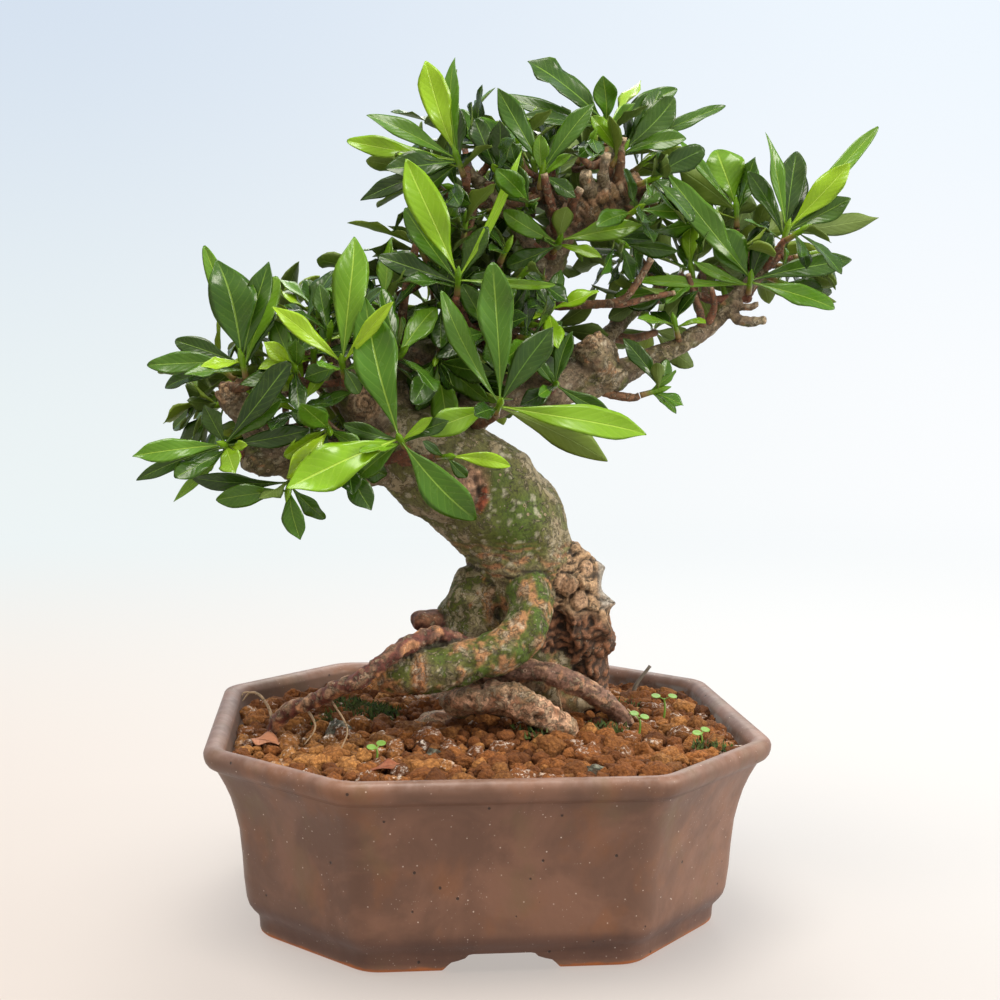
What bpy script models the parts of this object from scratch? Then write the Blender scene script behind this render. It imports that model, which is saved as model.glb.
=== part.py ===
"""A gardenia bonsai in its eight-sided stoneware pot, with soil, drain screen and seedlings.

The origin is the middle of the pot's underside. X runs to the right, Y to the back and Z up.
Sizes and places are in millimetres here, and become metres when a mesh is made.
"""

import random
from math import cos, pi, sin, sqrt

import bpy
from mathutils import Matrix, Vector, noise
from mathutils.bvhtree import BVHTree

MM = 0.001
GAP = 0.3

# Driving dimensions of the pot
POT_HALF_X = 105.0
POT_HALF_Y = 108.0
POT_CUT_X = 49.0
POT_CUT_Y = 52.0
POT_HEIGHT = 73.0
CORNER_CUT = 2.0
FLOOR_UNDER = 7.0
FLOOR_TOP = 12.0
DRAIN_RADIUS = 13.0
ARCH_TOP = 6.4
ARCH_HALF_LOW = 20.5
ARCH_HALF_HIGH = 11.5

# Driving dimensions of the soil
SOIL_EDGE = 65.5
SOIL_MOUND = 8.0
MOUND_CENTRE = Vector((26, 4))
MOUND_SPREAD = 52.0
GRANULE_PITCH = 16.0
ROOT_CLEARANCE = 0.45

# Driving dimensions of the foliage
BLADE_THICKNESS = 0.8
SHOOT_RADIUS = 1.3
SHOOT_LENGTH = 9.0
BUD_LENGTH = 4.0
PETIOLE = 0.07
LEAF_TURN = 2.4
TRIALS = 60
WIDE_PROBE = 1.7
CLOSE_PROBE = 0.9
SEED = 41


def clear_scene():
    for obj in list(bpy.data.objects):
        bpy.data.objects.remove(obj, do_unlink=True)


def material(name, colour, roughness):
    made = bpy.data.materials.new(name)
    made.use_nodes = True
    shader = made.node_tree.nodes["Principled BSDF"]
    shader.inputs["Base Color"].default_value = (*colour, 1)
    shader.inputs["Roughness"].default_value = roughness
    shader.inputs["Metallic"].default_value = 0
    made.diffuse_color = (*colour, 1)
    return made


def add_object(name, shape, finish=None, smooth=False):
    """A mesh object from (points in millimetres, faces)."""
    points, faces = shape
    mesh = bpy.data.meshes.new(name)
    mesh.from_pydata([Vector(p) * MM for p in points], [], faces)
    mesh.update()
    obj = bpy.data.objects.new(name, mesh)
    bpy.context.scene.collection.objects.link(obj)
    if finish:
        mesh.materials.append(finish)
    if smooth:
        mesh.shade_smooth()
        mesh.set_sharp_from_angle(angle=0.7)
    return obj


def apply_modifiers(obj):
    bpy.context.view_layer.update()
    graph = bpy.context.evaluated_depsgraph_get()
    mesh = bpy.data.meshes.new_from_object(obj.evaluated_get(graph))
    obj.modifiers.clear()
    obj.data = mesh


def boolean(obj, operation, shapes, solver="EXACT"):
    """Joins shapes to obj, or cuts them from it, with one Boolean on a collection of them."""
    group = bpy.data.collections.new("helpers")
    bpy.context.scene.collection.children.link(group)
    for shape in shapes:
        helper = add_object("helper", shape)
        bpy.context.scene.collection.objects.unlink(helper)
        group.objects.link(helper)
        helper.hide_render = True
        helper.display_type = "WIRE"
    modifier = obj.modifiers.new(operation.lower(), "BOOLEAN")
    modifier.operation = operation
    modifier.operand_type = "COLLECTION"
    modifier.collection = group
    modifier.solver = solver
    apply_modifiers(obj)
    for helper in list(group.objects):
        bpy.data.objects.remove(helper, do_unlink=True)
    bpy.data.collections.remove(group)


def united(shapes):
    """One shape from several that overlap."""
    whole = add_object("whole", shapes[0])
    boolean(whole, "UNION", shapes[1:], "MANIFOLD")
    shape = ([v.co / MM for v in whole.data.vertices],
             [tuple(p.vertices) for p in whole.data.polygons])
    bpy.data.objects.remove(whole, do_unlink=True)
    return shape


def keep_largest_body(obj):
    """Drops loose scraps, so that the object is one body."""
    mesh = obj.data
    parent = list(range(len(mesh.vertices)))

    def root(i):
        while parent[i] != i:
            parent[i] = parent[parent[i]]
            i = parent[i]
        return i

    for edge in mesh.edges:
        a, b = (root(i) for i in edge.vertices)
        parent[a] = b
    roots = [root(i) for i in parent]
    largest = max(set(roots), key=roots.count)
    points = [v.co / MM for v in mesh.vertices]
    faces = [tuple(p.vertices) for p in mesh.polygons if roots[p.vertices[0]] == largest]
    used = sorted({i for face in faces for i in face})
    place = {old: new for new, old in enumerate(used)}
    kept = bpy.data.meshes.new(obj.name)
    kept.from_pydata([points[i] * MM for i in used], [], [[place[i] for i in f] for f in faces])
    for slot in mesh.materials:
        kept.materials.append(slot)
    obj.data = kept


# Shapes: each is (points, faces), closed, with its faces outwards

def loft(rings):
    """Rings of equal count, joined by triangles and closed at both ends."""
    count = len(rings[0])
    points = [p for ring in rings for p in ring]
    faces = [tuple(reversed(range(count)))]
    for r in range(len(rings) - 1):
        for i in range(count):
            a, b = r * count + i, r * count + (i + 1) % count
            faces += [(a, b, b + count), (a, b + count, a + count)]
    faces.append(tuple((len(rings) - 1) * count + i for i in range(count)))
    return points, faces


def box(low, high):
    corners = [(low[0], low[1]), (high[0], low[1]), (high[0], high[1]), (low[0], high[1])]
    return loft([[(x, y, z) for x, y in corners] for z in (low[2], high[2])])


def cylinder(x, y, low, high, radius, sides=16):
    return loft([[(x + radius * cos(2 * pi * i / sides), y + radius * sin(2 * pi * i / sides), z)
                  for i in range(sides)] for z in (low, high)])


def smooth_path(keys, steps):
    """Points of a smooth curve through the keys, which may carry a radius as a fourth number."""
    keys = [Vector(k) for k in keys]
    padded = [2 * keys[0] - keys[1]] + keys + [2 * keys[-1] - keys[-2]]
    path = []
    for a, b, c, d in zip(padded, padded[1:], padded[2:], padded[3:]):
        for step in range(steps):
            t = step / steps
            path.append(0.5 * (2 * b + (c - a) * t + (2 * a - 5 * b + 4 * c - d) * t * t
                               + (3 * b - a - 3 * c + d) * t ** 3))
    return path + [keys[-1]]


def tube(keys, sides=6, steps=2, grow=0.0, knobs=0.0):
    """A tapering limb along (x, y, z, radius) keys, with an uneven skin where knobs is set."""
    path = smooth_path(keys, steps)
    centres = [p.to_3d() for p in path]
    along = [(centres[min(i + 1, len(path) - 1)] - centres[max(i - 1, 0)]).normalized()
             for i in range(len(path))]
    side = along[0].orthogonal().normalized()
    rings = []
    for i, (centre, forward) in enumerate(zip(centres, along)):
        side = (side - forward * side.dot(forward)).normalized()
        across = forward.cross(side)
        past_end = (i == len(path) - 1) - (i == 0)
        ring = []
        for k in range(sides):
            angle = 2 * pi * k / sides
            spoke = cos(angle) * side + sin(angle) * across
            radius = path[i][3] * (1 + knobs * noise.noise((centre + spoke * path[i][3]) * 0.11))
            ring.append(centre + spoke * (radius + grow) + forward * grow * past_end)
        rings.append(ring)
    return loft(rings)


# The wood: each limb is (keys, sides, steps, knobs), the keys being (x, y, z, radius)
TRUNK = [(22, 15, 50, 27), (21, 14, 80, 27), (20, 14, 99, 24), (18, 9, 120, 22.5),
         (17, 6, 133, 21.5), (11, 2, 150, 22.5), (-3, -2, 164, 22.5), (-20, -5, 174, 21),
         (-33, -8, 183, 17), (-40, -10, 190, 11)]
LOBE = [(10, 4, 130, 10), (-1, 1, 119, 13), (-3, 0, 107, 14), (1, 4, 92, 14), (6, 8, 72, 15)]
BURL = [(34, 4, 139, 6), (38, 1, 130, 11), (41, 0, 119, 12.5), (41, 1, 107, 12.5),
        (40, 5, 95, 11.5), (40, 9, 82, 13), (40, 12, 62, 15)]
LOOP_ROOT = [(19, -2, 130, 9), (18, -12, 124, 9), (18, -19, 117, 8.6), (14, -25, 109, 8.4),
             (5, -29, 103, 8.4), (-15, -33, 98, 8.2), (-33, -33, 95, 7.6), (-41, -31, 94, 5.5)]
DARK_ROOT = [(-4, -24, 105, 2), (-20, -31, 110, 3), (-29, -36, 108, 3.2), (-38, -42, 104, 3.4),
             (-50, -43, 95, 3.4), (-68, -34, 85, 3), (-79, -26, 78, 2.6), (-84, -22, 66, 2),
             (-85, -20, 52, 1.4)]
KNOB_ROOT = [(-8, -2, 109, 5), (-16, -4, 110, 4.4), (-25, -6, 111, 4.6), (-28, -7, 111, 3)]
CROSS_ROOT = [(2, -10, 88, 3.6), (8, -15, 91, 4.4), (20, -19, 93, 4.6), (33, -21, 89, 4.4),
              (47, -18, 81, 4.2), (56, -15, 72, 3.6), (66, -12, 55, 2.6)]
FRONT_ROOT = [(-14, -16, 80, 5), (-8, -23, 83, 6.2), (5, -28, 84, 6.4), (16, -30, 81, 6.4),
              (26, -29, 75, 6), (34, -26, 66, 5), (42, -24, 54, 3.4)]
BURIED_ROOTS = [
    [(16, 24, 74, 9), (-6, 42, 67, 7), (-32, 58, 58, 5), (-58, 66, 44, 2.4)],
    [(34, 28, 74, 9), (52, 46, 67, 7), (60, 56, 54, 4.6), (62, 62, 34, 2.2)],
    [(4, 6, 70, 9), (-24, 2, 62, 7), (-52, 4, 48, 4.6), (-72, 12, 34, 2.2)],
    [(36, 0, 66, 9), (56, -20, 52, 6.4), (66, -42, 38, 3.6), (70, -54, 28, 2)],
]
LIMBS = {
    "left": [(-30, -8, 180, 15), (-44, -12, 178, 12), (-56, -16, 176.5, 9.5),
             (-73, -22, 176, 7.5), (-89, -27, 178, 6), (-93, -28, 178.5, 5)],
    "left_stub": [(-82, -25, 178, 5), (-90, -25, 190, 4.6), (-97, -23, 199, 5.2),
                  (-101, -22, 204, 3.4)],
    "upper_left": [(-36, -9, 185, 13), (-45, -13, 193, 9.5), (-52, -17, 201, 8),
                   (-56, -19, 210, 5), (-58, -18, 222, 3.2)],
    "leader": [(-33, -5, 184, 14), (-37, -2, 196, 10), (-34, 4, 206, 8), (-26, 8, 214, 7),
               (-14, 10, 220, 6.4), (2, 12, 226, 6.2), (18, 13, 234, 6.2), (27, 13, 250, 5.8),
               (32, 10, 266, 6.4), (40, 9, 275, 7.2), (51, 8, 281, 6.4), (64, 8, 288, 4.4)],
    "right": [(-22, -5, 179, 15), (-8, -1, 193, 9.5), (8, 2, 201, 8), (26, 3, 204, 7.4),
              (44, 4, 207, 7.6), (54, 5, 209, 6.6), (62, 7, 212.5, 4.8), (78, 10, 220, 4),
              (92, 12, 227.5, 3.8), (107, 14, 242, 3.4), (118, 14, 254, 3)],
    "right_stub": [(46, 3, 208, 7), (47, 3, 216, 8), (42, 3, 224, 6.4)],
    "back_left": [(-34, -2, 186, 12), (-44, 14, 192, 8), (-56, 30, 198, 5.6), (-64, 44, 204, 3.6)],
    "back": [(-18, 2, 180, 13), (-6, 20, 194, 8), (2, 38, 208, 6), (6, 54, 224, 4),
             (10, 62, 240, 3)],
    "back_right": [(26, 6, 207, 5.5), (40, 20, 216, 4.8), (56, 34, 226, 4), (70, 44, 238, 3)],
    "crown_left": [(25, 11, 246, 4.4), (18, 4, 263, 3.4), (6, -1, 278, 3), (-7, -5, 289, 2.4)],
    "crown_back": [(36, 12, 270, 5), (30, 28, 280, 4), (22, 42, 288, 3)],
    "crown_up": [(49, 8, 278, 4), (50, 7, 290, 3.2), (50, 8, 301, 2.6)],
}
SMALL_STUBS = [
    [(104, 12, 238, 2.4), (106, 8, 233, 2.2), (111, 6, 232, 2), (117, 6, 232.5, 1.6)],
    [(104, 12, 240, 2), (109, 7, 238, 1.7), (114, 5, 239, 1.4)],
    [(50, 6, 281, 2.6), (48, 1, 290, 2.2), (49, -1, 298, 2.2)],
    [(46, 8, 279, 3.6), (42, 2, 284, 3), (40, -2, 290, 2.2)],
]

# Leafy shoots. Each has a name, the point where its leaves meet, the way that it grows, its
# number of leaves by rule, their length, and its drawn leaves: (tone, reach to the right,
# reach to the back, reach up, width). A wide tone "under" shows its pale underside in front.
SHOOTS = [
    ("front_bright", (-35, -46, 186), (-0.3, -1, 0.5), 2, 20, [
        ("bright", -41, -14, -18, 17), ("fresh", -13, 2, 52, 17), ("dark", 27, -9, -29, 15),
        ("dark", -21, 2, 6, 6), ("bright", 11, -4, 9, 4), ("dark", -16, 8, -14, 9)]),
    ("front_dark", (3, -41, 199), (0.1, -1, 0.5), 1, 20, [
        ("dark", -4, -3, 52, 14), ("dark", -22, 4, 42, 9), ("dark", 20, -2, 29, 12),
        ("bright", 55, -8, -9, 13), ("under", 42, 2, -20, 11), ("fresh", -28, -10, -9, 11)]),
    ("front_low", (-16, -44, 179), (0.5, -1, 0.1), 0, 20, [
        ("bright", 22, -6, -3, 6), ("dark", 8, 5, -8, 5), ("dark", -8, -6, 6, 4)]),
    ("upper_bright", (-56, -40, 214), (-0.1, -0.9, 0.8), 2, 20, [
        ("bright", -24, -6, 20, 6), ("bright", 22, -6, 20, 6), ("fresh", 6, -2, 48, 14),
        ("dark", 6, -4, -10, 7), ("dark", -14, 4, -4, 8)]),
    ("left_high", (-93, -36, 215), (-0.2, -0.6, 1), 2, 24, [
        ("dark", -8, -4, 36, 18), ("dark", 10, -2, 36, 10), ("bright", -14, -10, -2, 5),
        ("dark", -35, 2, -1, 9), ("dark", -30, 8, -8, 7), ("dark", -25, 4, 9, 8),
        ("fresh", -15, 10, 45, 7), ("fresh", 12, 6, 34, 10)]),
    ("left_low", (-100, -38, 183), (-0.5, -1, 0.3), 1, 22, [
        ("bright", -32, -6, -4, 9), ("dark", 24, -6, 31, 11), ("dark", 21, -4, 17, 9),
        ("dark", 31, -2, 6, 8), ("fresh", 4, -12, -9, 10), ("dark", -8, 2, 15, 8),
        ("dark", -34, 4, -13, 6), ("fresh", -22, 8, -21, 4), ("bright", 7, -8, 1, 4),
        ("bright", -26, 12, -7, 6)]),
    ("crown_left", (-12, -12, 294), (-0.4, -0.3, 1), 3, 25, [
        ("bright", -12, -5, 35, 12), ("fresh", -3, 3, 39, 8), ("dark", -34, 0, 18, 9),
        ("bright", -43, 14, 9, 8), ("dark", -28, -8, -4, 12), ("dark", -20, 16, -14, 12),
        ("dark", -38, 6, -14, 8)]),
    ("middle_bright", (-12, -26, 247), (0, -0.7, 1), 2, 24, [
        ("bright", -20, -9, 42, 14), ("bright", 23, -2, 49, 4), ("bright", 36, -8, -2, 4),
        ("dark", -20, 6, 28, 10), ("dark", -30, 4, 10, 10)]),
    ("crown_front", (22, -11, 290), (0.1, -0.6, 1), 1, 20, [
        ("dark", -18, -3, 30, 10), ("dark", 19, -4, 26, 9), ("fresh", -2, -10, 13, 7),
        ("dark", 14, 2, -8, 7), ("fresh", 10, -8, 8, 4)]),
    ("crown_top", (50, 9, 312), (-0.1, 0, 1), 3, 26, [
        ("dark", -31, 2, 26, 10), ("fresh", -3, -8, 17, 10), ("dark", 30, 6, 16, 9),
        ("dark", -34, -4, 5, 8), ("dark", -40, 14, 14, 8), ("fresh", 10, -6, 10, 6)]),
    ("crown_right", (56, 0, 300), (0.6, -0.4, 1), 2, 24, [
        ("dark", 43, 4, 21, 6), ("dark", 20, -2, 26, 13), ("dark", 18, 10, 30, 10),
        ("dark", 24, -10, 6, 9), ("fresh", -12, -6, 14, 8)]),
    ("crown_centre", (30, -4, 263), (0.2, -1, 0.6), 1, 20, [
        ("bright", 32, -6, 6, 9), ("under", 2, -6, 13, 9), ("fresh", -22, -2, 12, 9),
        ("bright", 16, -10, -5, 5), ("dark", -20, 2, -8, 9)]),
    ("limb_small", (27, -19, 206), (0, -1, 0.2), 1, 16, [
        ("dark", -14, -3, -8, 8), ("dark", 21, -4, -11, 7), ("dark", 6, -2, 21, 7),
        ("dark", -8, -2, 10, 5)]),
    ("limb_under", (73, 0, 204), (1, -0.2, 0.3), 0, 16, [
        ("dark", -21, 8, 19, 8), ("under", -3, -6, 12, 6), ("dark", 4, 6, 14, 6),
        ("fresh", 12, -2, -5, 6), ("dark", 9, -6, -8, 4), ("fresh", 10, -4, 9, 4)]),
    ("right_high", (127, 11, 271), (0.2, -0.4, 1), 2, 24, [
        ("bright", 23, -8, 26, 11), ("bright", -10, -10, 38, 7), ("dark", 24, -8, 13, 10),
        ("fresh", 28, 6, 28, 9), ("under", 42, 6, 8, 9), ("fresh", 38, 10, 40, 5),
        ("dark", 6, 6, 35, 12), ("dark", 15, 8, 29, 8), ("dark", -17, -4, 26, 9)]),
    ("right_middle", (107, 18, 280), (-0.1, -0.2, 1), 2, 24, [
        ("fresh", -8, 2, 24, 18), ("fresh", -25, -4, 28, 5), ("under", -22, 10, 18, 14),
        ("dark", 10, 8, 20, 10)]),
    ("right_low", (110, 4, 250), (-0.1, -0.7, 0.7), 1, 22, [
        ("dark", -36, -8, 41, 12), ("dark", -14, -2, 20, 16), ("dark", 41, -6, 9, 10),
        ("bright", 32, -12, -10, 10), ("under", 36, 2, -7, 7), ("fresh", -50, -2, 3, 5),
        ("fresh", -25, -6, 9, 5)]),
    ("right_inner", (86, 8, 254), (-0.3, -0.4, 1), 5, 22, []),
    ("right_fork", (78, 2, 232), (-0.3, -0.5, 0.7), 4, 17, []),
    ("hanging_left", (-76, -35, 165), (-0.2, -0.4, -1), 1, 20, [
        ("dark", -26, -6, -3, 9), ("dark", 4, -4, -19, 9), ("dark", 13, 2, -13, 7),
        ("dark", -36, 0, 2, 8)]),
    ("hanging_middle", (-54, -34, 176), (0.2, -0.6, -1), 2, 18, [
        ("dark", 9, -4, -18, 10), ("dark", 17, -2, -5, 9), ("dark", 4, -8, -15, 9)]),
    ("left_inner", (-72, -30, 198), (-0.1, -0.7, 0.7), 7, 22, []),
    ("left_top", (-70, -14, 228), (-0.1, -0.1, 1), 7, 24, []),
    ("left_far", (-104, -12, 212), (-0.8, 0.1, 0.6), 6, 24, []),
    ("left_rear", (-92, 14, 206), (-0.8, 0.6, 0.6), 7, 26, []),
    ("left_back", (-68, 48, 214), (-0.5, 0.9, 0.6), 7, 27, []),
    ("left_back_low", (-48, 52, 196), (-0.3, 1, 0), 7, 26, []),
    ("middle_left", (-40, -14, 236), (-0.5, -0.5, 1), 7, 24, []),
    ("middle_top", (-26, 8, 262), (-0.5, 0.1, 1), 7, 25, []),
    ("middle_front", (0, -22, 226), (-0.2, -1, 0.5), 6, 22, []),
    ("middle_back", (-20, 50, 240), (-0.4, 1, 0.7), 7, 27, []),
    ("centre_back", (12, 68, 248), (0.1, 1, 0.6), 7, 27, []),
    ("centre_back_low", (10, 66, 212), (0.2, 1, -0.2), 7, 26, []),
    ("centre_front", (26, -12, 236), (0.2, -1, 0.6), 6, 20, []),
    ("crown_far_left", (-24, 6, 288), (-0.9, 0.3, 0.7), 7, 24, []),
    ("crown_mid", (14, 4, 302), (-0.2, -0.1, 1), 7, 23, []),
    ("crown_rear_left", (2, 34, 292), (-0.5, 0.7, 0.8), 7, 25, []),
    ("crown_rear", (26, 50, 296), (0, 0.9, 0.8), 7, 26, []),
    ("crown_rear_right", (60, 32, 292), (0.5, 0.8, 0.8), 7, 26, []),
    ("crown_lower", (60, -13, 275), (0.5, -1, 0.35), 6, 20, []),
    ("right_rear", (90, 40, 256), (0.4, 1, 0.6), 7, 26, []),
    ("right_rear_low", (80, 52, 230), (0.2, 1, 0.2), 7, 25, []),
    ("right_end_back", (120, 34, 264), (0.8, 0.8, 0.6), 7, 25, []),
]
TONES = ("dark", "fresh", "bright", "under")


def wood_tubes(grow=0.0, only_low=False):
    """The closed tubes that make the tree's wood, with twigs out to the leafy shoots."""
    low = [(TRUNK, 11, 1, 0.10), (LOBE, 7, 1, 0.25), (BURL, 8, 1, 0.6), (LOOP_ROOT, 8, 1, 0.15),
           (DARK_ROOT, 5, 1, 0.3), (KNOB_ROOT, 5, 1, 0.3), (CROSS_ROOT, 6, 1, 0.2),
           (FRONT_ROOT, 7, 1, 0.3)] + [(keys, 5, 1, 0.2) for keys in BURIED_ROOTS]
    high = [(keys, 6, 1, 0.3) for keys in LIMBS.values()]
    high += [(keys, 4, 1, 0.2) for keys in SMALL_STUBS]
    high += [(twig_keys(shoot), 3, 1, 0.15) for shoot in SHOOTS]
    return [tube(keys, sides, steps, grow, knobs)
            for keys, sides, steps, knobs in (low if only_low else low + high)]


def shoot_frame(shoot):
    """Where a shoot starts, where its leaves meet, and the way that it grows."""
    top, way = Vector(shoot[1]), Vector(shoot[2]).normalized()
    return top - way * SHOOT_LENGTH, top, way


def twig_keys(shoot):
    """A bent twig from the nearest limb to the foot of the shoot."""
    foot, _, way = shoot_frame(shoot)
    start = min((Vector(k) for limb in LIMBS.values() for k in limb[1:]),
                key=lambda k: (k.to_3d() - foot).length + 0.5 * abs(k.z - foot.z)
                + (0 if k.z < foot.z + 6 else 12))
    base = start.to_3d()
    reach = (foot - base).length
    end = foot - way * GAP
    radius = min(start.w * 0.75, 1.6 + 0.035 * reach)
    bend = base.lerp(end, 0.5) + Vector((0, 0, -0.06 * reach)) - way * 0.12 * reach
    return [(*base, radius), (*bend, radius * 0.5 + 0.8), (*(end - way * 3), 1.6), (*end, 1.4)]


def blade_rows(base, reach, face, width, stations, curl, wave, phase):
    """Rows of (left edge, midrib, right edge, upward direction) along a leaf, from its base.

    The blade is widest past its middle, runs down to a narrow stalk, and ends in a point.
    """
    length = reach.length
    forward = reach / length
    face = (face - forward * face.dot(forward)).normalized()
    side = forward.cross(face)
    rows = []
    for u in stations:
        t = max(0.0, (u - PETIOLE) / (1 - PETIOLE))
        half = 0.5 * width * max(sin(pi * min(t, 1) ** 1.3), 0) ** 0.85 + 0.45 * (1 - u)
        middle = base + forward * (length * u) + face * (curl * length * u * (1 - u))
        lift = 0.22 * half
        ripple = wave * half * sin(2 * pi * (1.6 * u + phase))
        rows.append((middle - side * half + face * (lift + ripple), middle,
                     middle + side * half + face * (lift - ripple), face))
    return rows


def ridge_split(points, a, b, c, d):
    """Two triangles for a twisted four-sided face, split along the way that bulges outwards."""
    out = (points[b] - points[a]).cross(points[c] - points[a])
    if (points[d] - points[a]).dot(out) > 0:
        return [(a, b, d), (b, c, d)]
    return [(a, b, c), (a, c, d)]


def blade(leaf, thickness=BLADE_THICKNESS, start=0.0):
    """A thin closed leaf with a keel below, whose twisted faces never pass through each other."""
    base, reach, face, width, _, curl, wave, phase = leaf
    inner = (0.3, 0.56, 0.8) if reach.length > 40 else (0.36, 0.72)
    if reach.length < 16:
        inner = (0.52,)
    stations = [start] + [u for u in inner if u > start + 0.1]
    rows = blade_rows(base, reach, face, width, stations, curl, wave, phase)
    points = []
    for left, middle, right, up in rows:
        drop = 0.7 * ((left + right) / 2 - middle)
        points += [left - drop, middle - up * 0.5 * thickness, right - drop]
    points.append(base + reach)
    faces = [(0, 1, 2)]
    for r in range(len(rows) - 1):
        for k in range(3):
            m = (k + 1) % 3
            faces += ridge_split(points, 3 * r + m, 3 * r + k, 3 * r + 3 + k, 3 * r + 3 + m)
    last, tip = 3 * (len(rows) - 1), len(points) - 1
    faces += [(last + (k + 1) % 3, last + k, tip) for k in range(3)]
    return points, faces


def as_tree(shape):
    return BVHTree.FromPolygons(*shape)


def plan_leaves(obstacles):
    """Every leaf of every shoot, turned until it clears the wood and the leaves set before it."""
    placed = []
    plan = []
    for shoot in SHOOTS:
        name, _, _, count, length, drawn = shoot
        draw = random.Random(name + str(SEED))
        _, top, way = shoot_frame(shoot)
        start = way.orthogonal().normalized()
        own = []
        wanted = [(tone, Vector((x, y, z)), width) for tone, x, y, z, width in drawn]
        for k in range(count):
            spoke = Matrix.Rotation(LEAF_TURN * k + draw.uniform(-0.3, 0.3), 3, way) @ start
            lean = 0.75 + 0.6 * (k / max(count - 1, 1)) + draw.uniform(-0.15, 0.15)
            reach = (way * cos(lean) + spoke * sin(lean)) * length * draw.uniform(0.9, 1.2)
            tone = "dark" if draw.random() < 0.72 else draw.choice(TONES[1:3])
            wanted.append((tone, reach, reach.length * draw.uniform(0.34, 0.42)))
        for k, (tone, reach, width) in enumerate(wanted):
            leaf = fit_leaf(top - way * (0.5 + 5.5 * k / len(wanted)), reach, way, width, tone,
                            obstacles, placed, own, draw)
            if leaf:
                own.append(leaf)
        placed.append([(as_tree(blade(leaf, WIDE_PROBE)), leaf) for leaf in own])
        placed.append([(as_tree(shoot_stem(shoot, 0.5)), None)])
        plan.append((shoot, own))
    return plan


def fit_leaf(base, reach, way, width, tone, obstacles, placed, own, draw):
    """The leaf as wanted, or turned, tilted and shortened a little until it crosses nothing."""
    curl, wave, phase = draw.uniform(0.02, 0.14), draw.uniform(0.05, 0.3), draw.random()
    length = reach.length
    for trial in range(TRIALS):
        slack = trial / TRIALS
        turn = Matrix.Rotation(draw.uniform(-1.5, 1.5) * slack, 3, way)
        tilt = Matrix.Rotation(draw.uniform(-1.1, 1.1) * slack, 3, reach.cross(way).normalized())
        bent = (turn @ tilt @ reach) * (1 - 0.35 * slack)
        face = way - bent * (way.dot(bent) / bent.length_squared)
        if face.length < 0.25:
            face = face + Vector((0, -0.6, 0.3))
        if tone == "under":
            face = Vector((0, 1, 0.5))
        spoke = bent - way * way.dot(bent)
        root = base + spoke.normalized() * (0.2 * SHOOT_RADIUS)
        leaf = (root, bent, face, width * (1 - 0.2 * slack), tone, curl, wave, phase)
        probe = as_tree(blade(leaf, WIDE_PROBE, start=0.12))
        middle = base + bent / 2
        near = [tree for group in placed for tree, other in group
                if other is None
                or (other[0] + other[1] / 2 - middle).length < (other[1].length + length) / 2 + 9]
        if any(probe.overlap(tree) for tree in obstacles + near):
            continue
        outer = as_tree(blade(leaf, CLOSE_PROBE, start=0.3))
        if any(outer.overlap(as_tree(blade(other, CLOSE_PROBE, start=0.3))) for other in own):
            continue
        return leaf
    return None


def shoot_stem(shoot, grow=0.0):
    """The green shoot that carries the leaves, with a small bud at its tip."""
    foot, top, way = shoot_frame(shoot)
    bud = top + way * BUD_LENGTH
    return tube([(*foot, SHOOT_RADIUS), (*top, SHOOT_RADIUS), (*bud, 0.35)], 4, 1, grow)


def make_sprays(finishes, plan):
    for shoot, leaves in plan:
        spray = add_object("spray_" + shoot[0], shoot_stem(shoot), finishes["leaf"])
        boolean(spray, "UNION", [blade(leaf) for leaf in leaves], "MANIFOLD")
        keep_largest_body(spray)


# The pot

def pot_ring(inset, height):
    """The octagon this far inside the rim's outline, with cut corners, at this height."""
    slope = sqrt(POT_CUT_X ** 2 + POT_CUT_Y ** 2)
    nx, ny = POT_CUT_Y / slope, POT_CUT_X / slope
    reach = nx * POT_HALF_X + ny * (POT_HALF_Y - POT_CUT_Y) - inset
    a, b = POT_HALF_X - inset, POT_HALF_Y - inset
    side_y, front_x = (reach - nx * a) / ny, (reach - ny * b) / nx
    corners = [(a, side_y), (front_x, b), (-front_x, b), (-a, side_y),
               (-a, -side_y), (-front_x, -b), (front_x, -b), (a, -side_y)]
    corners = [Vector((x, y, height)) for x, y in corners]
    ring = []
    for k, corner in enumerate(corners):
        before = (corners[k - 1] - corner).normalized() * CORNER_CUT
        after = (corners[(k + 1) % 8] - corner).normalized() * CORNER_CUT
        ring += [corner + before, corner + after]
    return ring


INNER_WALL = [(21.5, FLOOR_TOP), (19.6, 14.5), (18.6, 31), (17, 42), (15, 51), (11.4, 60),
              (8.8, 65.5)]


def make_pot(finish):
    outside = [(28, FLOOR_UNDER), (27.5, 0), (19.9, 0), (18.3, 1.4), (18.3, 6),
               (13.4, 14.5), (12, 31), (11, 41), (8.6, 53), (4.9, 62.3),
               (1.8, 66), (0.2, 67.8), (0, 70.4), (1, 72.2), (3, POT_HEIGHT), (5.4, 72.6),
               (7.4, 70.6)]
    rings = [pot_ring(inset, height) for inset, height in outside + INNER_WALL[::-1]]
    pot = add_object("pot", loft(rings), finish)
    far = POT_HALF_Y + 20
    arch = [(-ARCH_HALF_LOW - 4, -3), (ARCH_HALF_LOW + 4, -3), (ARCH_HALF_LOW, 0.01),
            (ARCH_HALF_HIGH, ARCH_TOP), (-ARCH_HALF_HIGH, ARCH_TOP), (-ARCH_HALF_LOW, 0.01)]
    along_y = loft([[(x, y, z) for x, z in arch] for y in (far, -far)])
    along_x = loft([[(x, y, z) for y, z in arch] for x in (-far, far)])
    boolean(pot, "DIFFERENCE", [along_x])
    boolean(pot, "DIFFERENCE", [along_y])
    boolean(pot, "DIFFERENCE", [cylinder(0, 0, 2, FLOOR_TOP + 3, DRAIN_RADIUS, 20)])
    return pot


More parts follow.
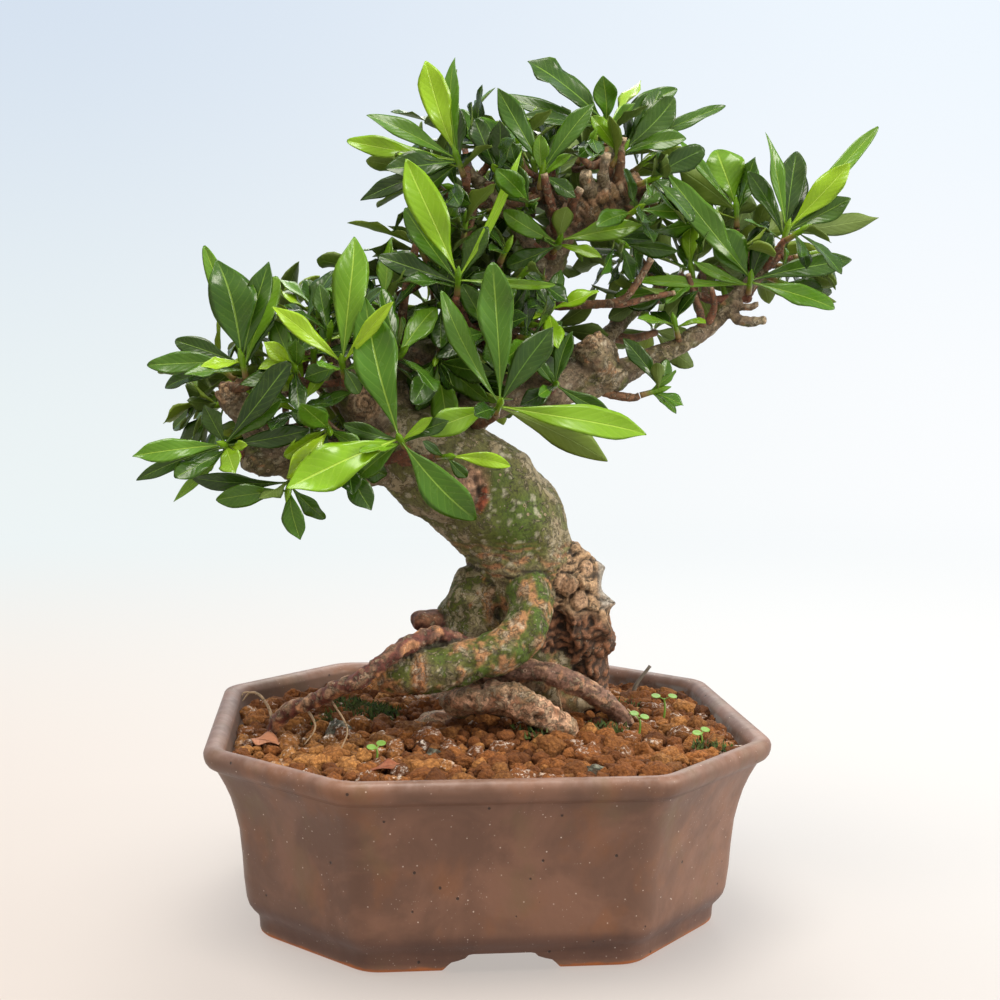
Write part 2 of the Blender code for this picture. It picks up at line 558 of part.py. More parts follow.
# The drain screen and the wire that holds it over the hole
SCREEN_HALF = 19.0
SCREEN_BOTTOM = FLOOR_TOP + GAP
SCREEN_THICKNESS = 0.9
WIRE_RADIUS = 0.75
SCREEN_HOLES = 4


def make_screen(finish):
    pitch = 2 * SCREEN_HALF / SCREEN_HOLES
    top = SCREEN_BOTTOM + SCREEN_THICKNESS
    screen = add_object("drain_screen", box((-SCREEN_HALF, -SCREEN_HALF, SCREEN_BOTTOM),
                                            (SCREEN_HALF, SCREEN_HALF, top)), finish)
    centres = [(k + 0.5) * pitch - SCREEN_HALF for k in range(SCREEN_HOLES)]
    half = 0.34 * pitch
    boolean(screen, "DIFFERENCE", [box((x - half, y - half, SCREEN_BOTTOM - 1),
                                       (x + half, y + half, top + 1))
                                   for x in centres for y in centres])


def make_screen_wire(finish):
    """A wire over the screen, down through the drain hole, and bent out under the floor."""
    over = SCREEN_BOTTOM + SCREEN_THICKNESS + GAP + WIRE_RADIUS
    under = FLOOR_UNDER - 2 * GAP - WIRE_RADIUS
    leg = SCREEN_HALF / SCREEN_HOLES
    half = [(leg - 1.5, over), (leg, over - 1.5), (leg, under + 1.5), (leg + 1.5, under),
            (DRAIN_RADIUS + 5, under)]
    keys = [(-x, leg, z, WIRE_RADIUS) for x, z in reversed(half)]
    keys += [(x, leg, z, WIRE_RADIUS) for x, z in half]
    add_object("screen_wire", tube(keys, 6, 1), finish, smooth=True)


# The soil

def soil_height(x, y):
    spread = (Vector((x, y)) - MOUND_CENTRE).length / MOUND_SPREAD
    return SOIL_EDGE + SOIL_MOUND / (1 + spread ** 2) + 1.2 * noise.noise(Vector((x, y, 3)) * 0.03)


def granule_surface():
    """A sheet of raised granules, each a low six-sided cone, thickened far downwards."""
    draw = random.Random(SEED + 1)
    step = GRANULE_PITCH / sqrt(3)
    rise = step * sqrt(3) / 2
    columns, rows = int(2 * POT_HALF_X / step) + 3, int(2 * POT_HALF_Y / rise) + 3
    points = []
    for j in range(rows):
        for i in range(columns):
            raised = (i - j // 2 - j) % 3 == 0
            x = (i + 0.5 * (j % 2)) * step - POT_HALF_X - step + draw.uniform(-0.5, 0.5)
            y = j * rise - POT_HALF_Y - rise + draw.uniform(-0.5, 0.5)
            bump = draw.uniform(2.0, 4.0) if raised else draw.uniform(-1.3, -0.3)
            points.append((x, y, soil_height(x, y) + bump))
    points += [(x, y, -20) for x, y, z in points]
    faces = []
    lower = rows * columns
    for j in range(rows - 1):
        for i in range(columns - 1):
            a = j * columns + i
            b, c, d = a + 1, a + columns, a + columns + 1
            split = [(a, b, d), (a, d, c)] if j % 2 else [(a, b, c), (b, d, c)]
            faces += split + [tuple(k + lower for k in face[::-1]) for face in split]
    edge = ([i for i in range(columns)] + [j * columns + columns - 1 for j in range(1, rows)]
            + [(rows - 1) * columns + i for i in range(columns - 2, -1, -1)]
            + [j * columns for j in range(rows - 2, 0, -1)])
    for a, b in zip(edge, edge[1:] + edge[:1]):
        faces.append((b, a, a + lower, b + lower))
    return points, faces


def make_soil(finish, stems):
    inside = [(inset + GAP, height) for inset, height in INNER_WALL]
    inside[0] = (inside[0][0], FLOOR_TOP + GAP)
    inside.append((inside[-1][0], POT_HEIGHT + 20))
    soil = add_object("soil", loft([pot_ring(inset, height) for inset, height in inside]), finish)
    boolean(soil, "INTERSECT", [granule_surface()], "MANIFOLD")
    reach = SCREEN_HALF + 2 * GAP
    pocket = box((-reach, -reach, 0), (reach, reach, SCREEN_BOTTOM + SCREEN_THICKNESS + 2.4))
    cuts = [united(wood_tubes(ROOT_CLEARANCE, only_low=True))]
    cuts += [cylinder(x, y, SOIL_EDGE - 6, SOIL_EDGE + 30, radius + 0.4, 8)
             for x, y, radius in stems]
    boolean(soil, "DIFFERENCE", [pocket] + cuts, "MANIFOLD")
    keep_largest_body(soil)
    return soil


# Small pieces on the soil
SEEDLINGS = [(-44, -57, 9), (59, -32, 12), (74, -8, 15), (80, -47, 9)]
STICK = (72, 40)


def make_seedling(number, finish, x, y, height):
    """A stem standing in the soil, with its two round seed leaves."""
    foot = soil_height(x, y) - 3.5
    top = Vector((x + 0.5, y, foot + 3.5 + height * 0.6))
    stem = add_object("seedling_%d" % number,
                      tube([(x, y, foot, 0.7), (*top, 0.62)], 5, 1), finish)
    leaves = []
    for k in range(2):
        angle = pi * k + number
        reach = Vector((cos(angle), sin(angle), 0.25)) * 5.5
        base = top - Vector((0, 0, 1)) + reach.normalized() * 0.05
        leaves.append(blade((base, reach, Vector((0, 0, 1)), 4.2, "fresh", 0, 0, 0), 0.6))
    boolean(stem, "UNION", leaves)
    keep_largest_body(stem)


def lay_on(shape, ground):
    """The shape lowered until it lies just above the ground."""
    points, faces = shape
    lift = 12.0
    while lift > 0:
        moved = [Vector(p) + Vector((0, 0, lift - GAP - 0.25)) for p in points]
        if as_tree((moved, faces)).overlap(ground):
            break
        lift -= 0.25
    return [Vector(p) + Vector((0, 0, lift)) for p in points], faces


def make_fallen_leaves(finish, ground):
    places = [("fallen_leaf_left", (-93, -24), (13, -9), 9), ("fallen_leaf_front", (-47, -77),
              (14, 6), 6)]
    for name, (x, y), (reach_x, reach_y), width in places:
        base = Vector((x, y, soil_height(x, y) - 3))
        leaf = blade((base, Vector((reach_x, reach_y, 0.8)), Vector((0, 0, 1)), width,
                      "dark", 0.1, 0.1, 0.3), 0.8)
        add_object(name, lay_on(leaf, ground), finish)


def make_stick(finish):
    x, y = STICK
    foot = soil_height(x, y) - 4
    keys = [(x, y, foot, 0.9), (x, y, foot + 8, 0.9), (x + 7, y + 2, foot + 17, 0.7)]
    add_object("stick", tube(keys, 5, 1), finish)


def main():
    clear_scene()
    finishes = {
        "stoneware": material("stoneware", (0.14, 0.085, 0.065), 0.5),
        "soil": material("soil", (0.42, 0.19, 0.07), 0.9),
        "bark": material("bark", (0.2, 0.17, 0.09), 0.8),
        "leaf": material("leaf", (0.06, 0.2, 0.03), 0.35),
        "dry_leaf": material("dry_leaf", (0.4, 0.2, 0.1), 0.8),
        "screen": material("screen", (0.03, 0.03, 0.03), 0.6),
        "wire": material("wire", (0.6, 0.6, 0.6), 0.4),
    }
    make_pot(finishes["stoneware"])
    make_screen(finishes["screen"])
    make_screen_wire(finishes["wire"])
    stems = [(x, y, 0.7) for x, y, height in SEEDLINGS] + [(*STICK, 0.9)]
    soil = make_soil(finishes["soil"], stems)
    ground = as_tree(([v.co / MM for v in soil.data.vertices],
                      [tuple(p.vertices) for p in soil.data.polygons]))
    tubes = wood_tubes()
    tree = add_object("tree", tubes[0], finishes["bark"])
    boolean(tree, "UNION", tubes[1:], "MANIFOLD")
    keep_largest_body(tree)
    make_sprays(finishes, plan_leaves([as_tree(shape) for shape in wood_tubes(0.4)]))
    for number, (x, y, height) in enumerate(SEEDLINGS, 1):
        make_seedling(number, finishes["leaf"], x, y, height)
    make_fallen_leaves(finishes["dry_leaf"], ground)
    make_stick(finishes["bark"])


main()
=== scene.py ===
# %% [markdown]
# # A gardenia bonsai in an eight-sided stoneware pot
#
# The frame holds the plain solids of the plant: a pot, a block of soil, the wood, and sprays of
# thick flat leaves. This lesson gives each of them the form and the finish of the real one. Every
# fine piece stands exactly where its solid stands, so the sizes and places below are the same
# ones that shaped the solids, in millimetres, with the origin in the middle of the pot's
# underside, X to the right, Y to the back and Z up.

# %% Load the frame
import random
from math import atan2, cos, exp, pi, radians, sin, sqrt

import bmesh
import bpy
import numpy as np
from mathutils import Matrix, Vector, noise
from mathutils.bvhtree import BVHTree


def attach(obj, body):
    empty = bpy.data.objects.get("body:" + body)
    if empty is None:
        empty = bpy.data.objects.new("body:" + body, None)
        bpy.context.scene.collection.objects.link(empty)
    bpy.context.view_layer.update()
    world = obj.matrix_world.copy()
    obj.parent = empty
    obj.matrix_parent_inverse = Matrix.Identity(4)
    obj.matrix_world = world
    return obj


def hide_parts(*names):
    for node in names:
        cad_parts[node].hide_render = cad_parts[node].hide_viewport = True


MM = 0.001
GAP = 0.3
SEED = 41
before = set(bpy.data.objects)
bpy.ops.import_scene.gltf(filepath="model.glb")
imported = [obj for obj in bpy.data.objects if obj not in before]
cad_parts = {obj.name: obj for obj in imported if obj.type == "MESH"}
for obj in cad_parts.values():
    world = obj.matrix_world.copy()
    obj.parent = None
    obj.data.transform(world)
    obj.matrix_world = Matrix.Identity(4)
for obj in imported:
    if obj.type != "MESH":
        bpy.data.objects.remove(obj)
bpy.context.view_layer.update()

# %% [markdown]
# ## The camera
#
# A picture is taken from one place, and every comparison with it starts there. The camera looks
# slightly down and a little from the left. Its place, its turn and its lens were worked out from
# the eight corners of the pot's rim, whose true shape is known. Setting the three directions of
# the camera as the columns of a matrix avoids any guess about the order of rotations.

# %% The camera
CAMERA_TURN = radians(-6.08)
CAMERA_RISE = radians(4.83)
CAMERA_ROLL = radians(0.5)
CAMERA_DISTANCE = 610.05
CAMERA_LENS = 54.54
AIM = Vector((7.4, -0.8, 159.1))

backward = Vector((sin(CAMERA_TURN) * cos(CAMERA_RISE), -cos(CAMERA_TURN) * cos(CAMERA_RISE),
                   sin(CAMERA_RISE)))
sideways = Vector((cos(CAMERA_TURN), sin(CAMERA_TURN), 0))
upright = backward.cross(sideways)
right = cos(CAMERA_ROLL) * sideways + sin(CAMERA_ROLL) * upright
up = cos(CAMERA_ROLL) * upright - sin(CAMERA_ROLL) * sideways
bpy.ops.object.camera_add()
camera = bpy.context.object
camera.data.lens = CAMERA_LENS
camera.data.clip_start = 0.01
camera.data.clip_end = 50
place = Matrix((right, up, backward)).transposed().to_4x4()
place.translation = (AIM + backward * CAMERA_DISTANCE) * MM
camera.matrix_world = place
bpy.context.scene.camera = camera
print("camera at", place.translation)

# %% [markdown]
# ## The light and the stage
#
# The plant is photographed in a bright room: broad soft light from above and from the front, and
# hardly a shadow. Large area lamps give that, because the softness of a shadow comes from the
# size of the lamp. The floor runs back and up in one sweep, so that no horizon line shows. Colours
# are easiest to match with the plain view transform, which doesn't bend them.

# %% The light
MIDDLE = Vector((0, 0, 0.18))
LAMPS = [
    ("lamp_above", (-0.15, -0.25, 1.5), 0.9, 23.5, (1.0, 0.95, 0.87)),
    ("lamp_front", (-0.5, -1.6, 0.75), 1.0, 23.5, (1.0, 0.94, 0.85)),
    ("lamp_right", (1.35, -0.75, 0.8), 0.8, 35, (1.0, 0.94, 0.84)),
    ("lamp_behind", (0.2, 1.2, 1.1), 0.9, 9, (1.0, 0.97, 0.9)),
]
for name, at, size, watts, colour in LAMPS:
    bpy.ops.object.light_add(type="AREA")
    lamp = bpy.context.object
    lamp.name = name
    lamp.data.shape = "DISK"
    lamp.data.size = size
    lamp.data.energy = watts
    lamp.data.color = colour
    lamp.location = at
    lamp.rotation_euler = (Vector(at) - MIDDLE).to_track_quat("Z", "Y").to_euler()

world = bpy.data.worlds.new("room")
world.use_nodes = True
air = world.node_tree.nodes["Background"]
air.inputs["Color"].default_value = (1.0, 0.93, 0.84, 1)
air.inputs["Strength"].default_value = 0.16
bpy.context.scene.world = world
bpy.context.scene.view_settings.view_transform = "Standard"

# %% [markdown]
# ## Writing shader maths as expressions
#
# A material is a web of nodes. Placing each Math node by hand hides what the maths says, so a
# small class wraps a socket and overloads the operators: `1 - mask * 0.5` then adds the nodes by
# itself. Colours can't go through Math nodes, which would turn them grey, so they are mixed with
# Mix nodes, one coat over another like paint. Every other node comes from one method that takes
# its type, its settings and the values or links of its sockets.

# %% A small class for sockets
class Wire:
    """The output of a node, for use in sums with numbers and with other wires."""

    def __init__(self, paint, socket):
        self.paint = paint
        self.socket = socket

    def sum(self, operation, a, b=0.0):
        made = self.paint.node("ShaderNodeMath", {"operation": operation}, {0: a, 1: b})
        return Wire(self.paint, made.outputs[0])

    def __add__(self, other):
        return self.sum("ADD", self, other)

    def __sub__(self, other):
        return self.sum("SUBTRACT", self, other)

    def __rsub__(self, other):
        return self.sum("SUBTRACT", other, self)

    def __mul__(self, other):
        return self.sum("MULTIPLY", self, other)

    def __pow__(self, other):
        return self.sum("POWER", self, other)

    __radd__ = __add__
    __rmul__ = __mul__

    def largest(self, other):
        return self.sum("MAXIMUM", self, other)

    def through(self, function):
        """The wire through a function of one number: ABSOLUTE, SINE or FRACT."""
        return self.sum(function, self)

    def step(self, low, high):
        """A smooth change from 0 to 1 as the wire goes from low to high."""
        made = self.paint.node("ShaderNodeMapRange", {"interpolation_type": "SMOOTHSTEP"},
                               {"Value": self, "From Min": low, "From Max": high})
        return Wire(self.paint, made.outputs[0])


class Paint:
    """One material in the making, around its Principled shader."""

    def __init__(self, name, **fixed):
        self.material = bpy.data.materials.new(name)
        self.material.use_nodes = True
        self.tree = self.material.node_tree
        self.shader = self.tree.nodes["Principled BSDF"]
        self.coordinates = self.node("ShaderNodeTexCoord")
        for key, value in fixed.items():
            self.shader.inputs[key.replace("_", " ")].default_value = value

    def node(self, kind, settings=None, inputs=None):
        made = self.tree.nodes.new(kind)
        for key, value in (settings or {}).items():
            setattr(made, key, value)
        for key, value in (inputs or {}).items():
            if isinstance(value, Wire):
                self.tree.links.new(value.socket, made.inputs[key])
            elif value is not None:
                made.inputs[key].default_value = value
        return made

    def place(self, kind="Object"):
        """The place on the piece in metres, or its place in the UV map."""
        return Wire(self, self.coordinates.outputs[kind])

    def geometry(self, output):
        return Wire(self, self.node("ShaderNodeNewGeometry").outputs[output])

    def attribute(self, name, output="Vector"):
        made = self.node("ShaderNodeAttribute", {"attribute_name": name})
        return Wire(self, made.outputs[output])

    def stretched(self, x, y, z):
        """Object coordinates, drawn out or pressed together along each axis."""
        made = self.node("ShaderNodeMapping", None, {"Vector": self.place(), "Scale": (x, y, z)})
        return Wire(self, made.outputs[0])

    def noise(self, size_mm, detail=3.0, rough=0.55, at=None, warp=0.0):
        made = self.node("ShaderNodeTexNoise", None,
                         {"Vector": at or self.place(), "Scale": 1 / (size_mm * MM),
                          "Detail": detail, "Roughness": rough, "Distortion": warp})
        return Wire(self, made.outputs[0])

    def cells(self, size_mm, at=None):
        """Distance to the nearest of many scattered points, 0 at each of them."""
        made = self.node("ShaderNodeTexVoronoi", None,
                         {"Vector": at or self.place(), "Scale": 1 / (size_mm * MM)})
        return Wire(self, made.outputs["Distance"])

    def split(self, wire):
        made = self.node("ShaderNodeSeparateXYZ", None, {0: wire})
        return [Wire(self, made.outputs[k]) for k in range(3)]

    def mix(self, share, a, b, blend="MIX"):
        a, b = [(*c, 1) if isinstance(c, tuple) else c for c in (a, b)]
        made = self.node("ShaderNodeMix", {"data_type": "RGBA", "blend_type": blend},
                         {0: share, 6: a, 7: b})
        return Wire(self, made.outputs[2])

    def coats(self, colour, *coats):
        """The colour under coats of others, each given as (its share, its colour)."""
        for share, over in coats:
            colour = self.mix(share, colour, over)
        return colour

    def finish(self, colour, roughness=None, height=None, relief_mm=0.0):
        """The material, with its colour, its roughness and a relief as deep as relief_mm."""
        links = {"Base Color": colour, "Roughness": roughness}
        if height is not None:
            bump = self.node("ShaderNodeBump", None,
                             {"Height": height, "Distance": relief_mm * MM, "Strength": 1.0})
            links["Normal"] = Wire(self, bump.outputs[0])
        for key, wire in links.items():
            if wire is not None:
                self.tree.links.new(wire.socket, self.shader.inputs[key])
        print("material", self.material.name, len(self.tree.nodes), "nodes")
        return self.material


# %% [markdown]
# ## Handling pieces
#
# An operator works on whatever is selected, so everything is deselected before one is used. A
# finished piece has its place in its mesh, rides on the plant's one body, and hides the solids
# that it stands for.

# %% Helpers for pieces
def pick(*objects):
    if bpy.context.object and bpy.context.object.mode != "OBJECT":
        bpy.ops.object.mode_set(mode="OBJECT")
    bpy.ops.object.select_all(action="DESELECT")
    for obj in objects:
        obj.select_set(True)
    bpy.context.view_layer.objects.active = objects[0]


def settle(piece, finish, nodes=(), crease=None):
    """Gives a piece its material, its shading and its body, and hides the solids that it stands for.
    """
    pick(piece)
    bpy.ops.object.transform_apply(location=True, rotation=True, scale=True)
    piece.data.materials.clear()
    piece.data.materials.append(finish)
    if crease:
        bpy.ops.object.shade_smooth_by_angle(angle=crease)
    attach(piece, "root")
    if nodes:
        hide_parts(*nodes)
    piece.data.calc_loop_triangles()
    print(piece.name, len(piece.data.loop_triangles), "triangles")


def placed_mesh(name, mesh):
    """A new object in the scene that holds the mesh."""
    piece = bpy.data.objects.new(name, mesh)
    bpy.context.scene.collection.objects.link(piece)
    return piece


def mesh_piece(name, points, faces, smooth=True):
    """A mesh object from points in millimetres."""
    mesh = bpy.data.meshes.new(name)
    mesh.from_pydata([Vector(p) * MM for p in points], [], faces)
    if smooth:
        mesh.shade_smooth()
    return placed_mesh(name, mesh)


def store_tint(piece, tints):
    """Keeps a ground colour, and a share of scales as its alpha, for each point of a piece."""
    tint = piece.data.color_attributes.new("tint", "FLOAT_COLOR", "POINT")
    tint.data.foreach_set("color", tints)


def use_modifier(piece, kind, **settings):
    modifier = piece.modifiers.new(kind.lower(), kind)
    for key, value in settings.items():
        setattr(modifier, key, value)
    pick(piece)
    bpy.ops.object.modifier_apply(modifier=modifier.name)


def any_way(draw):
    """A random direction."""
    return Vector([draw.gauss(0, 1) for _ in range(3)]).normalized()


def edge_of(low, high, value):
    """0 below low, 1 above high, and a smooth change between."""
    t = min(max((value - low) / (high - low), 0.0), 1.0)
    return t * t * (3 - 2 * t)


# %% [markdown]
# ## The floor
#
# One large plane is the floor, and its far edge is pulled up into a backdrop. Extruding the edge
# in short steps along an arc makes the sweep round, and smooth shading hides the steps. Near the
# plant the floor takes the light of the lamps and the shadow of the pot, and it also glows a
# little, as painted light that is brighter towards the right. Further off it only glows, as painted
# light, from cream at the floor to a cool blue higher up and to white at the right, so that the
# sweep shows no band where it starts to rise.

# %% The floor and its sweep
FLOOR_HALF = 1.6
SWEEP_RADIUS = 0.8
SWEEP_STEPS = 12
BACKDROP_HEIGHT = 2.2

backdrop = Paint("backdrop", Roughness=0.95, Specular_IOR_Level=0.0, Emission_Strength=1.0)
x, y, height = backdrop.split(backdrop.place())
# the floor near the plant glows too: painted light, brighter towards the right
near = backdrop.mix(x.step(-0.4, 0.4), (0.43, 0.375, 0.335), (0.49, 0.475, 0.46))
# further off the glow is painted light, whiter towards the right
aside = x.step(-0.8, 1.2)
far_low = backdrop.mix(aside, (0.85, 0.91, 0.91), (0.98, 0.99, 1.0))
far_high = backdrop.mix(aside, (0.66, 0.75, 0.87), (0.86, 0.93, 1.0))
far = backdrop.mix(height.step(-0.15, 1.1), far_low, far_high)
away = y.step(-0.25, 1.35)
glow = backdrop.mix(away, near, far)
backdrop.tree.links.new(glow.socket, backdrop.shader.inputs["Emission Color"])
black = (0.0, 0.0, 0.0)
backdrop_colour = backdrop.mix(away, backdrop.mix(0.2, near, black), black)
backdrop.material.cycles.emission_sampling = "NONE"
bpy.ops.mesh.primitive_plane_add(size=2 * FLOOR_HALF)
floor = bpy.context.object
floor.name = "floor"
bpy.ops.object.mode_set(mode="EDIT")
bpy.ops.mesh.select_mode(type="EDGE")
floor_mesh = bmesh.from_edit_mesh(floor.data)
for edge in floor_mesh.edges:
    edge.select_set(all(v.co.y > 0 for v in edge.verts))
bmesh.update_edit_mesh(floor.data)
length = SWEEP_RADIUS * pi / 2 / SWEEP_STEPS
for step in range(SWEEP_STEPS):
    turn = (step + 0.5) * pi / 2 / SWEEP_STEPS
    bpy.ops.mesh.extrude_region_move(
        TRANSFORM_OT_translate={"value": (0, length * cos(turn), length * sin(turn))})
bpy.ops.mesh.extrude_region_move(TRANSFORM_OT_translate={"value": (0, 0, BACKDROP_HEIGHT)})
bpy.ops.object.mode_set(mode="OBJECT")
floor.data.shade_smooth()
floor.data.materials.append(backdrop.finish(backdrop_colour))
print("floor", len(floor.data.polygons), "faces")

# %% [markdown]
# ## The pot
#
# The pot is unglazed stoneware, pressed in an eight-sided mould: four long sides, four short
# ones, a rolled rim, a wall that tapers to a foot band, and an arch cut in each long side of the
# foot. It is made the way a potter would stack coils. A disc lies in the recess under the floor,
# and it is extruded ring after ring, out over the foot, up the wall, round the rim and down the
# inside, each ring being one octagon with rounded corners. The rim flares out a little more
# sideways than that of the solid, by RIM_FLARE, since the picture shows it wider.

# %% The pot's rings
POT_HALF_X, POT_HALF_Y = 105.0, 108.0
POT_CUT_X, POT_CUT_Y = 49.0, 52.0
POT_HEIGHT = 73.0
FLOOR_TOP = 12.0
DRAIN_RADIUS = 13.0
CORNER_POINTS = 7
CORNER_REACH = 6.0
RIM_FLARE = 0.016
FLARE_FROM, FLARE_TO = 38, 70
UNDER_AND_FOOT = [(28, 7), (27.5, 0.3), (27, 0), (20.6, 0), (19.4, 0.3), (18.6, 1.1), (18.3, 2.2),
                  (18.2, 4.5), (18.0, 6.4), (17.2, 8.0), (15.6, 9.8), (14.3, 11.8)]
WALL = [(13.5, 14.5), (12.6, 22), (12, 31), (11.0, 41), (9.8, 47.5), (8.6, 53), (6.9, 58),
        (5.2, 61.8)]
RIM = [(4.6, 63.0), (4.1, 63.9), (2.9, 64.6), (1.6, 65.5), (0.6, 67), (0.1, 68.8), (0, 70.4),
       (0.35, 71.6), (1.1, 72.5), (2.1, 72.95), (3, POT_HEIGHT), (4.2, 72.95), (5.4, 72.5),
       (6.6, 71.6), (7.4, 70.4), (8.0, 68.5)]
INNER_WALL = [(21.5, FLOOR_TOP), (19.6, 14.5), (18.6, 31), (17, 42), (15, 51), (11.4, 60),
              (8.8, 65.5)]


def octagon(inset, height):
    """The rim's outline moved in by inset, each corner rounded with a few points."""
    slope = sqrt(POT_CUT_X ** 2 + POT_CUT_Y ** 2)
    nx, ny = POT_CUT_Y / slope, POT_CUT_X / slope
    far = nx * POT_HALF_X + ny * (POT_HALF_Y - POT_CUT_Y) - inset
    a, b = POT_HALF_X - inset, POT_HALF_Y - inset
    side_y, front_x = (far - nx * a) / ny, (far - ny * b) / nx
    corners = [Vector((x, y, height)) for x, y in
               [(a, side_y), (front_x, b), (-front_x, b), (-a, side_y),
                (-a, -side_y), (-front_x, -b), (front_x, -b), (a, -side_y)]]
    ring = []
    for k, corner in enumerate(corners):
        start = corner + (corners[k - 1] - corner).normalized() * CORNER_REACH
        end = corner + (corners[(k + 1) % 8] - corner).normalized() * CORNER_REACH
        for j in range(CORNER_POINTS):
            t = j / (CORNER_POINTS - 1)
            ring.append(start.lerp(corner, t).lerp(corner.lerp(end, t), t))
    for point in ring:
        point.x *= 1 + RIM_FLARE * edge_of(FLARE_FROM, FLARE_TO, height)
    return ring


def place_ring(piece, ring):
    """Moves the selected vertices onto the ring, matching them by their angle round the pot."""
    edited = bmesh.from_edit_mesh(piece.data)
    chosen = sorted((v for v in edited.verts if v.select), key=lambda v: atan2(v.co.y, v.co.x))
    for vertex, point in zip(chosen, sorted(ring, key=lambda p: atan2(p.y, p.x))):
        vertex.co = point * MM
    bmesh.update_edit_mesh(piece.data)


def ring_stack(name, rings):
    """A disc as wide as the first ring, extruded through all the others."""
    bpy.ops.mesh.primitive_circle_add(vertices=8 * CORNER_POINTS, radius=0.08, fill_type="NGON")
    piece = bpy.context.object
    piece.name = name
    bpy.ops.object.mode_set(mode="EDIT")
    bpy.ops.mesh.select_mode(type="FACE")
    bpy.ops.mesh.select_all(action="SELECT")
    place_ring(piece, rings[0])
    for ring in rings[1:]:
        bpy.ops.mesh.extrude_region_move()
        place_ring(piece, ring)
    bpy.ops.mesh.select_all(action="SELECT")
    bpy.ops.mesh.normals_make_consistent(inside=False)
    bpy.ops.object.mode_set(mode="OBJECT")
    print(name, len(piece.data.polygons), "faces")
    return piece


# %% The pot's body
pot = ring_stack("stoneware_pot", [octagon(inset, height) for inset, height in
                                   UNDER_AND_FOOT + WALL + RIM + INNER_WALL[::-1]])
print("pot's size", [round(d / MM, 1) for d in pot.dimensions])

# %% [markdown]
# ## The arches and the drain hole
#
# The arch in the foot is a stepped one: a slope, a little shoulder, and a flat top. One prism,
# drawn as that outline and extruded right through the pot, cuts two opposite arches at once, and a
# quarter turn of the same prism cuts the other two.

# %% Cutting the foot
CUT_START = -130
CUT_LENGTH = 260
ARCH = [(-26, -3), (-22.5, -0.6), (-20.9, 0.5), (-19.3, 2.3), (-17.9, 3.5), (-15.4, 4.1),
        (-13.0, 4.9), (-11.8, 6.1), (-10.2, 6.4), (10.2, 6.4), (11.8, 6.1), (13.0, 4.9),
        (15.4, 4.1), (17.9, 3.5), (19.3, 2.3), (20.9, 0.5), (22.5, -0.6), (26, -3)]


def cut_with(piece, tool):
    use_modifier(piece, "BOOLEAN", object=tool, operation="DIFFERENCE", solver="EXACT")
    bpy.data.objects.remove(tool, do_unlink=True)


def arch_prism(turn):
    bpy.ops.mesh.primitive_circle_add(vertices=len(ARCH), radius=0.05, fill_type="NGON",
                                      rotation=(pi / 2, 0, 0))
    prism = bpy.context.object
    bpy.ops.object.transform_apply(rotation=True)
    for vertex, (x, z) in zip(prism.data.vertices, ARCH):
        vertex.co = Vector((x, CUT_START, z)) * MM
    bpy.ops.object.mode_set(mode="EDIT")
    bpy.ops.mesh.select_all(action="SELECT")
    bpy.ops.mesh.extrude_region_move(TRANSFORM_OT_translate={"value": (0, CUT_LENGTH * MM, 0)})
    bpy.ops.mesh.select_all(action="SELECT")
    bpy.ops.mesh.normals_make_consistent(inside=False)
    bpy.ops.object.mode_set(mode="OBJECT")
    prism.rotation_euler.z = turn
    bpy.ops.object.transform_apply(rotation=True)
    return prism


cut_with(pot, arch_prism(0))
cut_with(pot, arch_prism(pi / 2))
bpy.ops.mesh.primitive_cylinder_add(vertices=48, radius=DRAIN_RADIUS * MM, depth=0.02,
                                    location=(0, 0, 0.008))
cut_with(pot, bpy.context.object)
print("pot cut", len(pot.data.polygons), "faces")

# %% [markdown]
# ## The pot's finish
#
# The clay is a brown that leans to mauve, with rust and olive clouds where the kiln touched it.
# Fine white grit shows all over it and there are a few dark pinholes. The rim's top is paler, partly
# worn to grey and partly a painted highlight.
# The bare clay at the edge of the foot is orange. Water has left lime on the inner wall at the
# back, on the right. All of it is worked out from the place on the pot, so it needs no picture.

# %% The pot's material
CREASE = radians(32)
clay = Paint("stoneware", Specular_IOR_Level=0.38)
x, y, z = clay.split(clay.place())
clouds = clay.noise(34, 4, 0.6, warp=0.6).step(0.38, 0.62)
rust = clay.noise(19, 3, 0.6, clay.stretched(1, 1, 0.7)).step(0.5, 0.7)
olive = clay.noise(27, 3, 0.55, clay.stretched(1.3, 1.3, 0.8)).step(0.52, 0.7)
band = z.step(0.0165, 0.011) * z.step(0.0015, 0.004)
# painted shade: the clay under the rim's roll is darkened a little
shade_under_rim = z.step(0.056, 0.062) * z.step(0.0665, 0.0645)
# the rim's top, paler: partly wear, partly a painted highlight
wear_and_highlight = z.step(0.0685, 0.0725) * clay.noise(6, 4, 0.65).step(0.3, 0.7)
bare = (z + (clay.noise(9, 2) - 0.5) * 0.0022).step(0.0022, 0.0007)
grit = clay.cells(2.7).step(0.135, 0.075) * clay.noise(2.3, 1).step(0.45, 0.7)
fine_grit = (clay.cells(1.3, clay.stretched(1, 1, 0.75)).step(0.16, 0.08)
             * clay.noise(11).step(0.5, 0.66))
pits = clay.cells(9.5, clay.stretched(1.1, 0.9, 1)).step(0.075, 0.045)
facing = clay.node("ShaderNodeVectorMath", {"operation": "DOT_PRODUCT"},
                   {0: clay.geometry("Normal"), 1: clay.place()})
inside = Wire(clay, facing.outputs["Value"]).step(0.0, -0.03) * z.step(0.0705, 0.069)
lime = inside * (x + y).step(0.03, 0.09) * clay.noise(12, 4, 0.6).step(0.35, 0.6)
